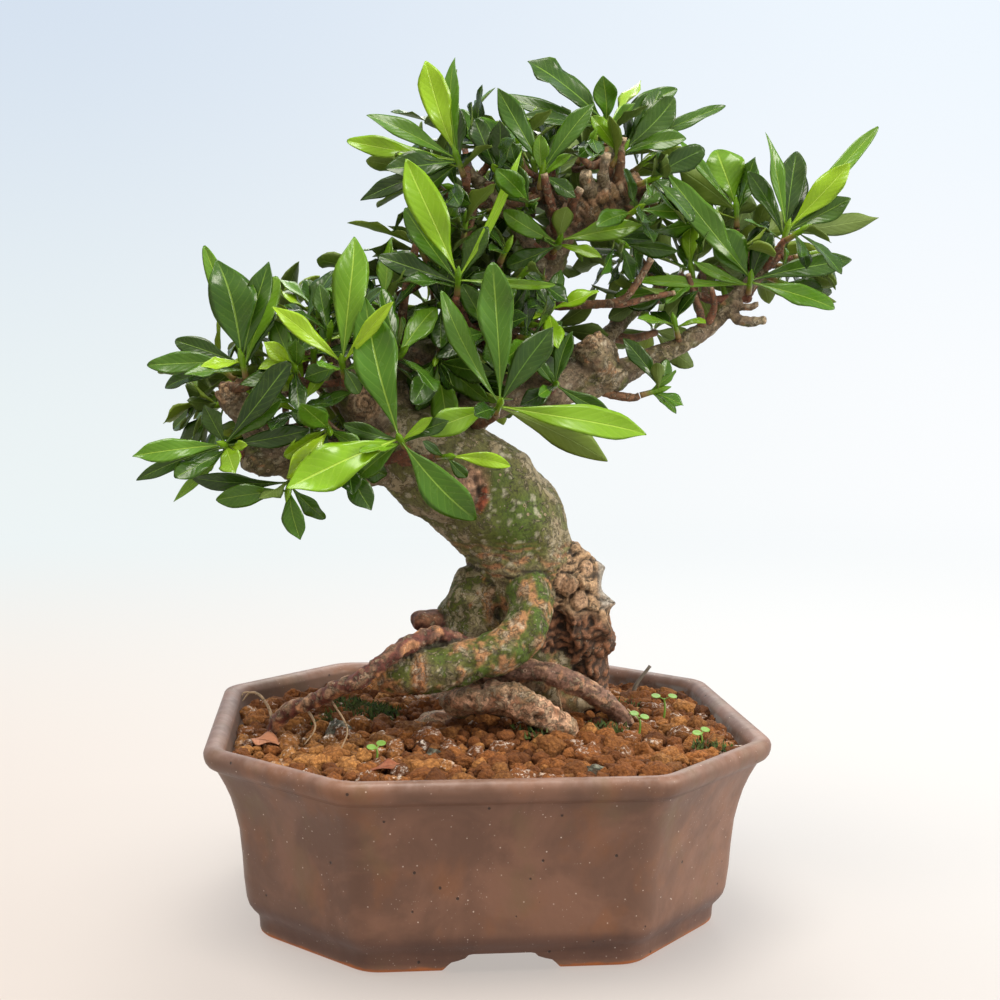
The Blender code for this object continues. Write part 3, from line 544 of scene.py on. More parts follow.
colour = clay.coats(
    clay.mix(clouds, (0.128, 0.066, 0.043), (0.192, 0.097, 0.062)),
    (rust * 0.42, (0.225, 0.09, 0.034)), (olive * 0.45, (0.145, 0.096, 0.046)),
    (band * 0.6, (0.075, 0.036, 0.028)), (shade_under_rim * 0.1, (0.07, 0.036, 0.03)),
    (wear_and_highlight * 0.36, (0.31, 0.22, 0.19)), (bare, (0.42, 0.13, 0.035)),
    (grit * 0.75, (0.66, 0.55, 0.47)), (fine_grit * 0.45, (0.55, 0.46, 0.4)),
    (pits * 0.8, (0.02, 0.014, 0.012)), (inside * 0.55, (0.07, 0.042, 0.03)),
    (lime * 0.75, (0.235, 0.222, 0.21)))
roughness = 0.34 + clay.noise(8, 3) * 0.22 + bare * 0.3 + inside * 0.3
relief = clay.noise(13, 3) * 1.6 + clay.noise(1.6, 3) * 0.12 + grit * 0.22 - pits * 0.9
finish_clay = clay.finish(colour, roughness, relief, 0.25)
settle(pot, finish_clay, ["pot"], CREASE)

# %% [markdown]
# ## The wood: where it runs
#
# The trunk leans in from the roots, bends over a pinched waist and climbs to the left. Old roots
# lie bare round its foot, one of them looping down in front, and a corky burl swells on the right.
# Each limb is a list of places with a radius, and a smooth curve runs through them.

# %% The limbs' places
TRUNK = [(22, 15, 50, 27), (21, 14, 80, 27), (20, 14, 99, 24), (18, 9, 120, 22.5),
         (17, 6, 133, 21.5), (11, 2, 150, 22.5), (-3, -2, 164, 22.5), (-20, -5, 174, 21),
         (-33, -8, 183, 17), (-40, -10, 190, 11)]
LOBE = [(10, 4, 130, 10), (-1, 1, 119, 13), (-3, 0, 107, 14), (1, 4, 92, 14), (6, 8, 72, 15)]
BURL = [(34, 4, 139, 6), (38, 1, 130, 11), (41, 0, 119, 12.5), (41, 1, 107, 12.5),
        (40, 5, 95, 11.5), (40, 9, 82, 13), (40, 12, 62, 15)]
LOOP_ROOT = [(19, -2, 130, 9), (18, -12, 124, 9), (18, -19, 117, 8.6), (14, -25, 109, 8.4),
             (5, -29, 103, 8.4), (-15, -33, 98, 8.2), (-33, -33, 95, 7.6), (-41, -31, 94, 5.5)]
DARK_ROOT = [(-4, -24, 105, 2), (-20, -31, 110, 3), (-29, -36, 108, 3.2), (-38, -42, 104, 3.4),
             (-50, -43, 95, 3.4), (-68, -34, 85, 3), (-79, -26, 78, 2.6), (-84, -22, 66, 2),
             (-85, -20, 52, 1.4)]
KNOB_ROOT = [(-8, -2, 109, 5), (-16, -4, 110, 4.4), (-25, -6, 111, 4.6), (-28, -7, 111, 3)]
CROSS_ROOT = [(2, -10, 88, 3.6), (8, -15, 91, 4.4), (20, -19, 93, 4.6), (33, -21, 89, 4.4),
              (47, -18, 81, 4.2), (56, -15, 72, 3.6), (66, -12, 55, 2.6)]
FRONT_ROOT = [(-14, -16, 80, 5), (-8, -23, 83, 6.2), (5, -28, 84, 6.4), (16, -30, 81, 6.4),
              (26, -29, 75, 6), (34, -26, 66, 5), (42, -24, 54, 3.4)]
BURIED_ROOTS = [
    [(16, 24, 74, 9), (-6, 42, 67, 7), (-32, 58, 58, 5), (-58, 66, 44, 2.4)],
    [(34, 28, 74, 9), (52, 46, 67, 7), (60, 56, 54, 4.6), (62, 62, 34, 2.2)],
    [(4, 6, 70, 9), (-24, 2, 62, 7), (-52, 4, 48, 4.6), (-72, 12, 34, 2.2)],
    [(36, 0, 66, 9), (56, -20, 52, 6.4), (66, -42, 38, 3.6), (70, -54, 28, 2)],
]
LIMBS = {
    "left": [(-30, -8, 180, 15), (-44, -12, 178, 12), (-56, -16, 176.5, 9.5),
             (-73, -22, 176, 7.5), (-89, -27, 178, 6), (-93, -28, 178.5, 5)],
    "left_stub": [(-82, -25, 178, 5), (-90, -25, 190, 4.6), (-97, -23, 199, 5.2),
                  (-101, -22, 204, 3.4)],
    "upper_left": [(-36, -9, 185, 13), (-45, -13, 193, 9.5), (-52, -17, 201, 8),
                   (-56, -19, 210, 5), (-58, -18, 222, 3.2)],
    "leader": [(-33, -5, 184, 14), (-37, -2, 196, 10), (-34, 4, 206, 8), (-26, 8, 214, 7),
               (-14, 10, 220, 6.4), (2, 12, 226, 6.2), (18, 13, 234, 6.2), (27, 13, 250, 5.8),
               (32, 10, 266, 6.4), (40, 9, 275, 7.2), (51, 8, 281, 6.4), (64, 8, 288, 4.4)],
    "right": [(-22, -5, 179, 15), (-8, -1, 193, 9.5), (8, 2, 201, 8), (26, 3, 204, 7.4),
              (44, 4, 207, 7.6), (54, 5, 209, 6.6), (62, 7, 212.5, 4.8), (78, 10, 220, 4),
              (92, 12, 227.5, 3.8), (107, 14, 242, 3.4), (118, 14, 254, 3)],
    "right_stub": [(46, 3, 208, 7), (47, 3, 216, 8), (42, 3, 224, 6.4)],
    "back_left": [(-34, -2, 186, 12), (-44, 14, 192, 8), (-56, 30, 198, 5.6), (-64, 44, 204, 3.6)],
    "back": [(-18, 2, 180, 13), (-6, 20, 194, 8), (2, 38, 208, 6), (6, 54, 224, 4),
             (10, 62, 240, 3)],
    "back_right": [(26, 6, 207, 5.5), (40, 20, 216, 4.8), (56, 34, 226, 4), (70, 44, 238, 3)],
    "crown_left": [(25, 11, 246, 4.4), (18, 4, 263, 3.4), (6, -1, 278, 3), (-7, -5, 289, 2.4)],
    "crown_back": [(36, 12, 270, 5), (30, 28, 280, 4), (22, 42, 288, 3)],
    "crown_up": [(49, 8, 278, 4), (50, 7, 290, 3.2), (50, 8, 301, 2.6)],
}
SMALL_STUBS = [
    [(104, 12, 238, 2.4), (106, 8, 233, 2.2), (111, 6, 232, 2), (117, 6, 232.5, 1.6)],
    [(104, 12, 240, 2), (109, 7, 238, 1.7), (114, 5, 239, 1.4)],
    [(50, 6, 281, 2.6), (48, 1, 290, 2.2), (49, -1, 298, 2.2)],
    [(46, 8, 279, 3.6), (42, 2, 284, 3), (40, -2, 290, 2.2)],
]


def smooth_path(keys, steps):
    """Points of a smooth curve through the keys, which carry a radius as a fourth number."""
    keys = [Vector(k) for k in keys]
    padded = [2 * keys[0] - keys[1]] + keys + [2 * keys[-1] - keys[-2]]
    path = []
    for a, b, c, d in zip(padded, padded[1:], padded[2:], padded[3:]):
        for step in range(steps):
            t = step / steps
            path.append(0.5 * (2 * b + (c - a) * t + (2 * a - 5 * b + 4 * c - d) * t * t
                               + (3 * b - a - 3 * c + d) * t ** 3))
    return path + [keys[-1]]


def loft(rings):
    """Rings of equal count, joined by quads and closed at both ends."""
    count = len(rings[0])
    points = [p for ring in rings for p in ring]
    faces = [tuple(reversed(range(count)))]
    for r in range(len(rings) - 1):
        for i in range(count):
            a, b = r * count + i, r * count + (i + 1) % count
            faces.append((a, b, b + count, a + count))
    faces.append(tuple((len(rings) - 1) * count + i for i in range(count)))
    return points, faces


def tube(keys, sides, steps, grow=0.0, knobs=0.0):
    """A tapering limb along (x, y, z, radius) keys, with an uneven skin where knobs is set."""
    path = smooth_path(keys, steps)
    centres = [p.to_3d() for p in path]
    along = [(centres[min(i + 1, len(path) - 1)] - centres[max(i - 1, 0)]).normalized()
             for i in range(len(path))]
    side = along[0].orthogonal().normalized()
    rings = []
    for i, (centre, forward) in enumerate(zip(centres, along)):
        side = (side - forward * side.dot(forward)).normalized()
        across = forward.cross(side)
        past_end = (i == len(path) - 1) - (i == 0)
        ring = []
        for k in range(sides):
            angle = 2 * pi * k / sides
            spoke = cos(angle) * side + sin(angle) * across
            radius = path[i][3] * (1 + knobs * noise.noise((centre + spoke * path[i][3]) * 0.11))
            ring.append(centre + spoke * (radius + grow) + forward * grow * past_end)
        rings.append(ring)
    return loft(rings)


def joined_shapes(shapes):
    points, faces = [], []
    for more_points, more_faces in shapes:
        start = len(points)
        points += more_points
        faces += [tuple(i + start for i in face) for face in more_faces]
    return points, faces


# %% [markdown]
# ## The leafy shoots: where they stand
#
# A gardenia carries its leaves in tufts at the ends of its twigs. Each tuft is listed with the
# point where its leaves meet and the way that it grows. The leaves that face the camera are drawn
# one by one, with their reach and width, and the rest are spread round the shoot by a rule.

# %% The shoots' places
SHOOT_RADIUS = 1.3
SHOOT_LENGTH = 9.0
BUD_LENGTH = 4.0
# name, where the leaves meet, way it grows, leaves set by rule, their length,
# and the drawn leaves as (tone, reach in x, y and z, width)
SHOOTS = [
    ("front_bright", (-35, -46, 186), (-0.3, -1, 0.5), 2, 20, [
        ("bright", -41, -14, -18, 17), ("fresh", -13, 2, 52, 17), ("dark", 27, -9, -29, 15),
        ("dark", -21, 2, 6, 6), ("bright", 11, -4, 9, 4), ("dark", -16, 8, -14, 9)]),
    ("front_dark", (3, -41, 199), (0.1, -1, 0.5), 1, 20, [
        ("dark", -4, -3, 52, 14), ("dark", -22, 4, 42, 9), ("dark", 20, -2, 29, 12),
        ("fresh", 55, -8, -9, 13), ("under", 42, 2, -20, 11), ("fresh", -28, -10, -9, 11)]),
    ("front_low", (-16, -44, 179), (0.5, -1, 0.1), 0, 20, [
        ("bright", 22, -6, -3, 6), ("dark", 8, 5, -8, 5), ("dark", -8, -6, 6, 4)]),
    ("upper_bright", (-56, -40, 214), (-0.1, -0.9, 0.8), 2, 20, [
        ("bright", -24, -6, 20, 6), ("bright", 22, -6, 20, 6), ("fresh", 6, -2, 48, 14),
        ("dark", 6, -4, -10, 7), ("dark", -14, 4, -4, 8)]),
    ("left_high", (-93, -36, 215), (-0.2, -0.6, 1), 2, 24, [
        ("dark", -8, -4, 36, 18), ("dark", 10, -2, 36, 10), ("bright", -14, -10, -2, 5),
        ("dark", -35, 2, -1, 9), ("dark", -30, 8, -8, 7), ("dark", -25, 4, 9, 8),
        ("fresh", -15, 10, 45, 7), ("fresh", 12, 6, 34, 10)]),
    ("left_low", (-100, -38, 183), (-0.5, -1, 0.3), 1, 22, [
        ("fresh", -32, -6, -4, 9), ("dark", 24, -6, 31, 11), ("dark", 21, -4, 17, 9),
        ("dark", 31, -2, 6, 8), ("fresh", 4, -12, -9, 10), ("dark", -8, 2, 15, 8),
        ("dark", -34, 4, -13, 6), ("fresh", -22, 8, -21, 4), ("bright", 7, -8, 1, 4),
        ("bright", -26, 12, -7, 6)]),
    ("crown_left", (-12, -12, 294), (-0.4, -0.3, 1), 3, 25, [
        ("bright", -12, -5, 35, 12), ("fresh", -3, 3, 39, 8), ("dark", -34, 0, 18, 9),
        ("bright", -43, 14, 9, 8), ("dark", -28, -8, -4, 12), ("dark", -20, 16, -14, 12),
        ("dark", -38, 6, -14, 8)]),
    ("middle_bright", (-12, -26, 247), (0, -0.7, 1), 2, 24, [
        ("bright", -20, -9, 42, 14), ("bright", 23, -2, 49, 4), ("fresh", 36, -8, -2, 4),
        ("dark", -20, 6, 28, 10), ("dark", -30, 4, 10, 10)]),
    ("crown_front", (22, -11, 290), (0.1, -0.6, 1), 1, 20, [
        ("dark", -18, -3, 30, 10), ("dark", 19, -4, 26, 9), ("fresh", -2, -10, 13, 7),
        ("dark", 14, 2, -8, 7), ("fresh", 10, -8, 8, 4)]),
    ("crown_top", (50, 9, 312), (-0.1, 0, 1), 3, 26, [
        ("dark", -31, 2, 26, 10), ("fresh", -3, -8, 17, 10), ("dark", 30, 6, 16, 9),
        ("dark", -34, -4, 5, 8), ("dark", -40, 14, 14, 8), ("fresh", 10, -6, 10, 6)]),
    ("crown_right", (56, 0, 300), (0.6, -0.4, 1), 2, 24, [
        ("dark", 43, 4, 21, 6), ("dark", 20, -2, 26, 13), ("dark", 18, 10, 30, 10),
        ("dark", 24, -10, 6, 9), ("fresh", -12, -6, 14, 8)]),
    ("crown_centre", (30, -4, 263), (0.2, -1, 0.6), 1, 20, [
        ("fresh", 32, -6, 6, 9), ("under", 2, -6, 13, 9), ("fresh", -22, -2, 12, 9),
        ("bright", 16, -10, -5, 5), ("dark", -20, 2, -8, 9)]),
    ("limb_small", (27, -19, 206), (0, -1, 0.2), 1, 16, [
        ("dark", -14, -3, -8, 8), ("dark", 21, -4, -11, 7), ("dark", 6, -2, 21, 7),
        ("dark", -8, -2, 10, 5)]),
    ("limb_under", (73, 0, 204), (1, -0.2, 0.3), 0, 16, [
        ("dark", -21, 8, 19, 8), ("under", -3, -6, 12, 6), ("dark", 4, 6, 14, 6),
        ("fresh", 12, -2, -5, 6), ("dark", 9, -6, -8, 4), ("fresh", 10, -4, 9, 4)]),
    ("right_high", (127, 11, 271), (0.2, -0.4, 1), 2, 24, [
        ("bright", 23, -8, 26, 11), ("fresh", -10, -10, 38, 7), ("dark", 24, -8, 13, 10),
        ("fresh", 28, 6, 28, 9), ("under", 42, 6, 8, 9), ("fresh", 38, 10, 40, 5),
        ("dark", 6, 6, 35, 12), ("dark", 15, 8, 29, 8), ("dark", -17, -4, 26, 9)]),
    ("right_middle", (107, 18, 280), (-0.1, -0.2, 1), 2, 24, [
        ("fresh", -8, 2, 24, 18), ("fresh", -25, -4, 28, 5), ("under", -22, 10, 18, 14),
        ("dark", 10, 8, 20, 10)]),
    ("right_low", (110, 4, 250), (-0.1, -0.7, 0.7), 1, 22, [
        ("dark", -36, -8, 41, 12), ("dark", -14, -2, 20, 16), ("dark", 41, -6, 9, 10),
        ("fresh", 32, -12, -10, 10), ("under", 36, 2, -7, 7), ("fresh", -50, -2, 3, 5),
        ("fresh", -25, -6, 9, 5)]),
    ("right_inner", (86, 8, 254), (-0.3, -0.4, 1), 5, 22, []),
    ("right_fork", (78, 2, 232), (-0.3, -0.5, 0.7), 4, 17, []),
    ("hanging_left", (-76, -35, 165), (-0.2, -0.4, -1), 1, 20, [
        ("dark", -26, -6, -3, 9), ("dark", 4, -4, -19, 9), ("dark", 13, 2, -13, 7),
        ("dark", -36, 0, 2, 8)]),
    ("hanging_middle", (-54, -34, 176), (0.2, -0.6, -1), 2, 18, [
        ("dark", 9, -4, -18, 10), ("dark", 17, -2, -5, 9), ("dark", 4, -8, -15, 9)]),
    ("left_inner", (-72, -30, 198), (-0.1, -0.7, 0.7), 7, 22, []),
    ("left_top", (-70, -14, 228), (-0.1, -0.1, 1), 7, 24, []),
    ("left_far", (-104, -12, 212), (-0.8, 0.1, 0.6), 6, 24, []),
    ("left_rear", (-92, 14, 206), (-0.8, 0.6, 0.6), 7, 26, []),
    ("left_back", (-68, 48, 214), (-0.5, 0.9, 0.6), 7, 27, []),
    ("left_back_low", (-48, 52, 196), (-0.3, 1, 0), 7, 26, []),
    ("middle_left", (-40, -14, 236), (-0.5, -0.5, 1), 7, 24, []),
    ("middle_top", (-26, 8, 262), (-0.5, 0.1, 1), 7, 25, []),
    ("middle_front", (0, -22, 226), (-0.2, -1, 0.5), 6, 22, []),
    ("middle_back", (-20, 50, 240), (-0.4, 1, 0.7), 7, 27, []),
    ("centre_back", (12, 68, 248), (0.1, 1, 0.6), 7, 27, []),
    ("centre_back_low", (10, 66, 212), (0.2, 1, -0.2), 7, 26, []),
    ("centre_front", (26, -12, 236), (0.2, -1, 0.6), 6, 20, []),
    ("crown_far_left", (-24, 6, 288), (-0.9, 0.3, 0.7), 7, 24, []),
    ("crown_mid", (14, 4, 302), (-0.2, -0.1, 1), 7, 23, []),
    ("crown_rear_left", (2, 34, 292), (-0.5, 0.7, 0.8), 7, 25, []),
    ("crown_rear", (26, 50, 296), (0, 0.9, 0.8), 7, 26, []),
    ("crown_rear_right", (60, 32, 292), (0.5, 0.8, 0.8), 7, 26, []),
    ("crown_lower", (60, -13, 275), (0.5, -1, 0.35), 6, 20, []),
    ("right_rear", (90, 40, 256), (0.4, 1, 0.6), 7, 26, []),
    ("right_rear_low", (80, 52, 230), (0.2, 1, 0.2), 7, 25, []),
    ("right_end_back", (120, 34, 264), (0.8, 0.8, 0.6), 7, 25, []),
]


def shoot_frame(shoot):
    """Where a shoot starts, where its leaves meet, and the way that it grows."""
    top, way = Vector(shoot[1]), Vector(shoot[2]).normalized()
    return top - way * SHOOT_LENGTH, top, way


def bent_twig(base, foot, way, radius, swell, last, ends):
    """A twig that sags and bends on its way from base to just before the foot of a shoot."""
    reach = (foot - base).length
    end = foot - way * GAP
    bend = base.lerp(end, 0.5) + Vector((0, 0, -0.06 * reach)) - way * 0.12 * reach
    return [(*base, radius), (*bend, radius * 0.5 + swell), (*(end - way * last), ends[0]),
            (*end, ends[1])]


def twig_keys(shoot):
    """The twig from the nearest limb to a shoot of the solids."""
    foot, _, way = shoot_frame(shoot)
    start = min((Vector(k) for limb in LIMBS.values() for k in limb[1:]),
                key=lambda k: (k.to_3d() - foot).length + 0.5 * abs(k.z - foot.z)
                + (0 if k.z < foot.z + 6 else 12))
    base = start.to_3d()
    radius = min(start.w * 0.75, 1.6 + 0.035 * (foot - base).length)
    return bent_twig(base, foot, way, radius, 0.8, 3, (1.6, 1.4))


print("shoots", len(SHOOTS), "drawn leaves", sum(len(shoot[5]) for shoot in SHOOTS))

# %% [markdown]
# ## The wood: melting the limbs together
#
# On the real tree the limbs grow out of each other in smooth collars. Separate tubes would meet in
# sharp creases. A voxel remesh melts the joined tubes into one skin of small even squares, and a
# smooth modifier softens the creases. Those small squares can then be pushed in and out, one by
# one, to carve the bark.

# %% The skin of the trunk, and that of the limbs
VOXEL = 0.92
LOW_LIMBS = {
    "trunk": (TRUNK, 0.10), "lobe": (LOBE, 0.25), "burl": (BURL, 0.6), "loop": (LOOP_ROOT, 0.15),
    "dark": (DARK_ROOT, 0.3), "knob": (KNOB_ROOT, 0.3), "cross": (CROSS_ROOT, 0.2),
    "front": (FRONT_ROOT, 0.3)}
LOW_LIMBS.update({"buried%d" % k: (keys, 0.2) for k, keys in enumerate(BURIED_ROOTS)})
HIGH_LIMBS = {name: (keys, 0.3) for name, keys in LIMBS.items()}
HIGH_LIMBS.update({"small%d" % k: (keys, 0.2) for k, keys in enumerate(SMALL_STUBS)})


def skin(name, limbs, sides, soften):
    shapes = [tube(keys, sides, 8, 0.0, knobs) for keys, knobs in limbs.values()]
    piece = mesh_piece(name, *joined_shapes(shapes))
    piece.data.remesh_voxel_size = VOXEL * MM
    piece.data.use_remesh_fix_poles = False
    pick(piece)
    bpy.ops.object.voxel_remesh()
    use_modifier(piece, "SMOOTH", factor=0.6, iterations=soften)
    print(name, len(piece.data.vertices), "points")
    return piece


trunk_piece = skin("bark_trunk", LOW_LIMBS, 30, 4)
limbs_piece = skin("bark_limbs", HIGH_LIMBS, 20, 3)

# %% [markdown]
# ## The wood: carving the bark
#
# Every point of the skin asks which limb it belongs to, how far along it is and how far round.
# Bark cracks and wrinkles follow those two directions. The trunk is smooth and green in front,
# with folds pressed together at the waist. The burl is a swirl of cork with three round knots,
# and it crumbles below them. A torn wound with a red lip is on the trunk. The same look at the
# place gives the point its ground colour.

# %% Colours of the bark
GREEN = Vector((0.072, 0.094, 0.007))
LEAF_GREEN = Vector((0.068, 0.115, 0.009))
OLIVE = Vector((0.1, 0.086, 0.027))
SCALE = Vector((0.27, 0.223, 0.118))
CRUST = Vector((0.506, 0.473, 0.374))
PEEL = Vector((0.44, 0.215, 0.1))
RUST = Vector((0.37, 0.125, 0.042))
CORK = Vector((0.37, 0.24, 0.135))
CRACK = Vector((0.035, 0.02, 0.012))
CRUMB = Vector((0.25, 0.115, 0.058))
DARK_SKIN = Vector((0.12, 0.038, 0.027))
PINK_SKIN = Vector((0.66, 0.4, 0.26))
CROSS_SKIN = Vector((0.2, 0.108, 0.076))
LIP = Vector((0.2, 0.048, 0.02))
TAN_SKIN = Vector((0.34, 0.215, 0.13))
GREY_BROWN = Vector((0.185, 0.135, 0.085))
OLD_WOOD = Vector((0.3, 0.27, 0.23))
CUT_WOOD = Vector((0.6, 0.47, 0.32))
GNARLED_WOOD = Vector((0.25, 0.14, 0.075))
BURL_EDGE = ((98, 24), (108, 25.4), (114, 26.2), (120, 29), (126, 28), (132, 28.6), (136, 36),
             (139, 44))
KNOTS = ((33.2, 126, 4.2), (38.8, 119.6, 3.2), (42.5, 132.5, 2.6))
SCARS = ((-47, 198, 6.5), (-99, 203, 5.5), (41, 226, 7))


def spot(p, x, z, reach_x, reach_z, turn=0.0):
    """1 in the middle of an oval seen from the front, 0 at its edge and beyond."""
    dx, dz = p.x - x, p.z - z
    dx, dz = dx * cos(turn) + dz * sin(turn), dz * cos(turn) - dx * sin(turn)
    return edge_of(1.0, 0.35, sqrt((dx / reach_x) ** 2 + (dz / reach_z) ** 2))


def patches(p, size, low, high, shift=(0, 0, 0)):
    """Patches of about size millimetres: 0 where the noise is below low, 1 where above high."""
    return edge_of(low, high, noise.noise(p / size + Vector(shift)))


def fibres(along, spoke, length, width):
    """Noise drawn out along a limb."""
    return noise.noise(Vector((along * length, spoke.x * width, spoke.z * width)))


def on_burl(p):
    """Whether the burl's cork has grown over this place of the trunk."""
    wobble = 1.5 * noise.noise(p / 4)
    return any(low <= p.z < high and p.x > x + (far - x) * (p.z - low) / (high - low) + wobble
               for (low, x), (high, far) in zip(BURL_EDGE, BURL_EDGE[1:]))


def bark_of_trunk(p, limb, along, spoke, front):
    """(height in mm, colour, share of scales) at a point of the trunk, its roots or its burl."""
    if limb == "trunk" and on_burl(p):
        limb = "burl"
    fine, middle, coarse = (noise.noise(p / size) for size in (1.9, 4.6, 12.0))
    folds = fibres(along, spoke, 0.42, 1.6)
    height = 0.35 * middle + 0.16 * fine
    scaly = patches(p, 7.5, -0.1, 0.35, (9, 3, 1))
    colour = GREEN.lerp(SCALE, 0.75 * scaly)
    scales = 0.5
    if limb == "trunk":
        # smooth and green where the old bark is gone, scaly round that
        bare = front * max(spot(p, 13, 152, 17, 20, 0.5), 0.8 * spot(p, 2, 165, 16, 10, 0.7))
        upper = edge_of(150, 178, p.z) * (1 - bare)
        rim = 1 - bare
        height = height * (0.35 + 0.65 * rim) + rim * (0.45 * scaly - 0.5 * abs(folds))
        colour = GREEN.lerp(SCALE, rim * (0.2 + 0.6 * scaly))
        colour = colour.lerp(LEAF_GREEN, bare * edge_of(-0.3, 0.4, coarse))
        colour = colour.lerp(OLIVE, upper * (0.35 + 0.4 * middle))
        # folds pressed together at the waist, and bark that peels below it
        waist = edge_of(123, 129, p.z) * edge_of(145, 139, p.z)
        pleat = sin(2 * pi * (p.z + 0.10 * p.x + 3.4 * noise.noise(p / 8)) / 3.3)
        pleat *= 0.6 + 0.9 * middle
        height += waist * 0.5 * pleat
        scales = rim * (0.15 + 0.7 * scaly) * (1 - 0.6 * waist)
        dented = edge_of(0.1, -0.7, pleat) * edge_of(-0.1, 0.3, coarse + 0.2)
        colour = colour.lerp(PEEL, waist * dented)
        colour = colour.lerp(SCALE, 0.5 * waist * edge_of(0.2, 0.9, pleat))
        low = edge_of(130, 124, p.z)
        colour = colour.lerp(PEEL, 0.8 * low * edge_of(0.0, 0.3, middle + 0.5 * coarse))
        # the torn wound and its red lip
        torn = front * spot(p, -7.5, 165, 10, 13, -0.4)
        height -= torn * (2.4 + 1.6 * abs(noise.noise(Vector((p.x / 1.6, p.y / 3, p.z / 7)))))
        colour = colour.lerp(PINK_SKIN * (0.55 + 0.8 * fine), min(1.0, 1.3 * torn))
        lip = front * spot(p, -1.8 + 1.2 * middle, 161.5, 2.8, 7.5, -0.25)
        height += 1.5 * lip
        colour = colour.lerp(LIP * (1 + 1.2 * fine), min(1.0, 1.4 * lip))
        scales *= 1 - max(torn, lip)
    elif limb == "lobe":
        height += 0.35 * scaly - 0.4 * abs(folds)
        colour = colour.lerp(PEEL, front * spot(p, 4, 120, 6, 15) * edge_of(-0.25, 0.2, middle))
        colour = colour.lerp(RUST, 0.8 * patches(p, 3.4, 0.35, 0.6))
    elif limb == "loop":
        # streaked along its length, peeling, and ringed near its end
        streaks = fibres(along, spoke, 0.16, 3.2)
        peel = edge_of(-0.1, 0.2, noise.noise(p / 6.5 + Vector((4, 0, 7))) + 0.4 * fine
                       + 0.3 * streaks + 0.18 * edge_of(-12, 8, p.x) - 0.08)
        green = edge_of(0.0, 0.35, noise.noise(p / 8 + Vector((0, 8, 2))) + 0.3 * streaks)
        rings = edge_of(0.15, 0.45, noise.noise(Vector((along * 0.55, 3, 1))))
        colour = GREEN.lerp(SCALE, 0.45 * scaly).lerp(PEEL, 0.85 * peel).lerp(LEAF_GREEN, green)
        ringed = max(spot(p, -27, 96, 4.4, 11), 0.8 * spot(p, -41, 95, 2.6, 9))
        colour = colour.lerp(PEEL.lerp(RUST, 0.35 + fine), ringed)
        height += 0.4 * peel - 0.3 * rings + ringed * 0.5 * sin(2 * pi * along / 2.6)
        height += 0.35 * streaks
        scales = 0.1 + 0.3 * scaly
    elif limb == "burl":
        # a swirl of cracked cork, which crumbles lower down
        swirl = p + 7 * Vector((noise.noise(p / 15), noise.noise(p / 13 + Vector((5, 5, 5))),
                                noise.noise(p / 14 + Vector((1, 9, 4)))))
        scales = 0.0
        crack = edge_of(0.13, 0.0, abs(noise.noise(swirl / 6.5)))
        grain = noise.noise(Vector((swirl.x / 3.2, swirl.y / 3.2, swirl.z / 1.3)))
        crumbly = edge_of(117.5, 111, p.z + 0.35 * (p.x - 38) + 3 * coarse)
        lumps = noise.turbulence(p / 3.3, 3, True)
        height += (1 - crumbly) * (0.6 * grain - 1.4 * crack) + crumbly * 2.6 * (lumps - 0.62)
        colour = CORK * (1 + 0.5 * grain + 0.35 * middle)
        colour = colour.lerp(CRUMB * (0.4 + 1.0 * lumps), crumbly)
        colour = colour.lerp(CRACK, (1 - crumbly) * crack * 0.9)
        colour = colour.lerp(CRACK, 0.8 * crumbly * edge_of(0.5, 0.25, lumps))
        # round knots, ringed and set off by a groove
        for x, z, size in KNOTS:
            away = sqrt((p.x - x) ** 2 + (p.z - z) ** 2)
            disc = edge_of(0.6, 0.0, spoke.y) * edge_of(size + 0.7, size - 0.4, away)
            rings = sin(2 * pi * away / 1.7)
            height = height * (1 - disc) + disc * (1.1 + 0.16 * rings)
            height -= 1.1 * front * edge_of(1.0, 0.2, abs(away - size - 0.9))
            colour = colour.lerp(TAN_SKIN * (1.25 + 0.35 * rings), disc)
        # calmer towards its right edge, where grey dead wood shows
        height *= 1 - 0.5 * edge_of(42, 48, p.x)
        height -= 1.5 * edge_of(38, 50, p.x) * edge_of(106, 114, p.z)
        dead = edge_of(46.5, 49, p.x) * edge_of(114, 119, p.z)
        colour = colour.lerp(OLD_WOOD * (1 + 0.4 * grain), dead)
    elif limb == "dark":
        flaky = patches(p, 3.1, -0.05, 0.3, (0, 4, 0))
        height += 0.35 * middle - 0.5 * abs(folds) + 0.45 * flaky + 0.25 * fine
        scales = 0.15
        colour = DARK_SKIN.lerp(TAN_SKIN, flaky * (0.35 + 0.5 * edge_of(-30, -58, p.x)))
        colour = colour.lerp(PEEL, 0.8 * patches(p, 5, 0.28, 0.42, (2, 2, 0)))
        colour = colour * (1 + 0.7 * fine)
    elif limb == "knob":
        height += 0.8 * middle
        scales = 0.05
        colour = DARK_SKIN.lerp(CRUMB, 0.5 + middle) * (0.8 + 0.5 * fine)
    elif limb == "cross":
        height += 0.3 * scaly - 0.8 * abs(folds)
        scales = 0.12
        grained = fibres(along, spoke, 0.22, 4.5)
        height += 0.45 * grained
        colour = CROSS_SKIN.lerp(TAN_SKIN, 0.8 * edge_of(0.2, 0.45, grained + 0.4 * middle))
        colour = colour.lerp(PEEL, 0.5 * patches(p, 3.1, 0.35, 0.5)) * (1 + 0.6 * grained)
        height += 0.5 * coarse + 0.35 * noise.noise(Vector((along * 0.9, 1, 2)))
    else:
        height += 0.7 * scaly - 1.3 * abs(folds) + 1.6 * coarse + 0.8 * middle
        scales = 0.3 + 0.2 * scaly
        colour = PINK_SKIN.lerp(CRUMB, edge_of(-0.1, 0.35, middle)).lerp(SCALE, 0.4 * scaly)
        colour = colour.lerp(GREEN, 0.7 * edge_of(0.25, 0.45, coarse))
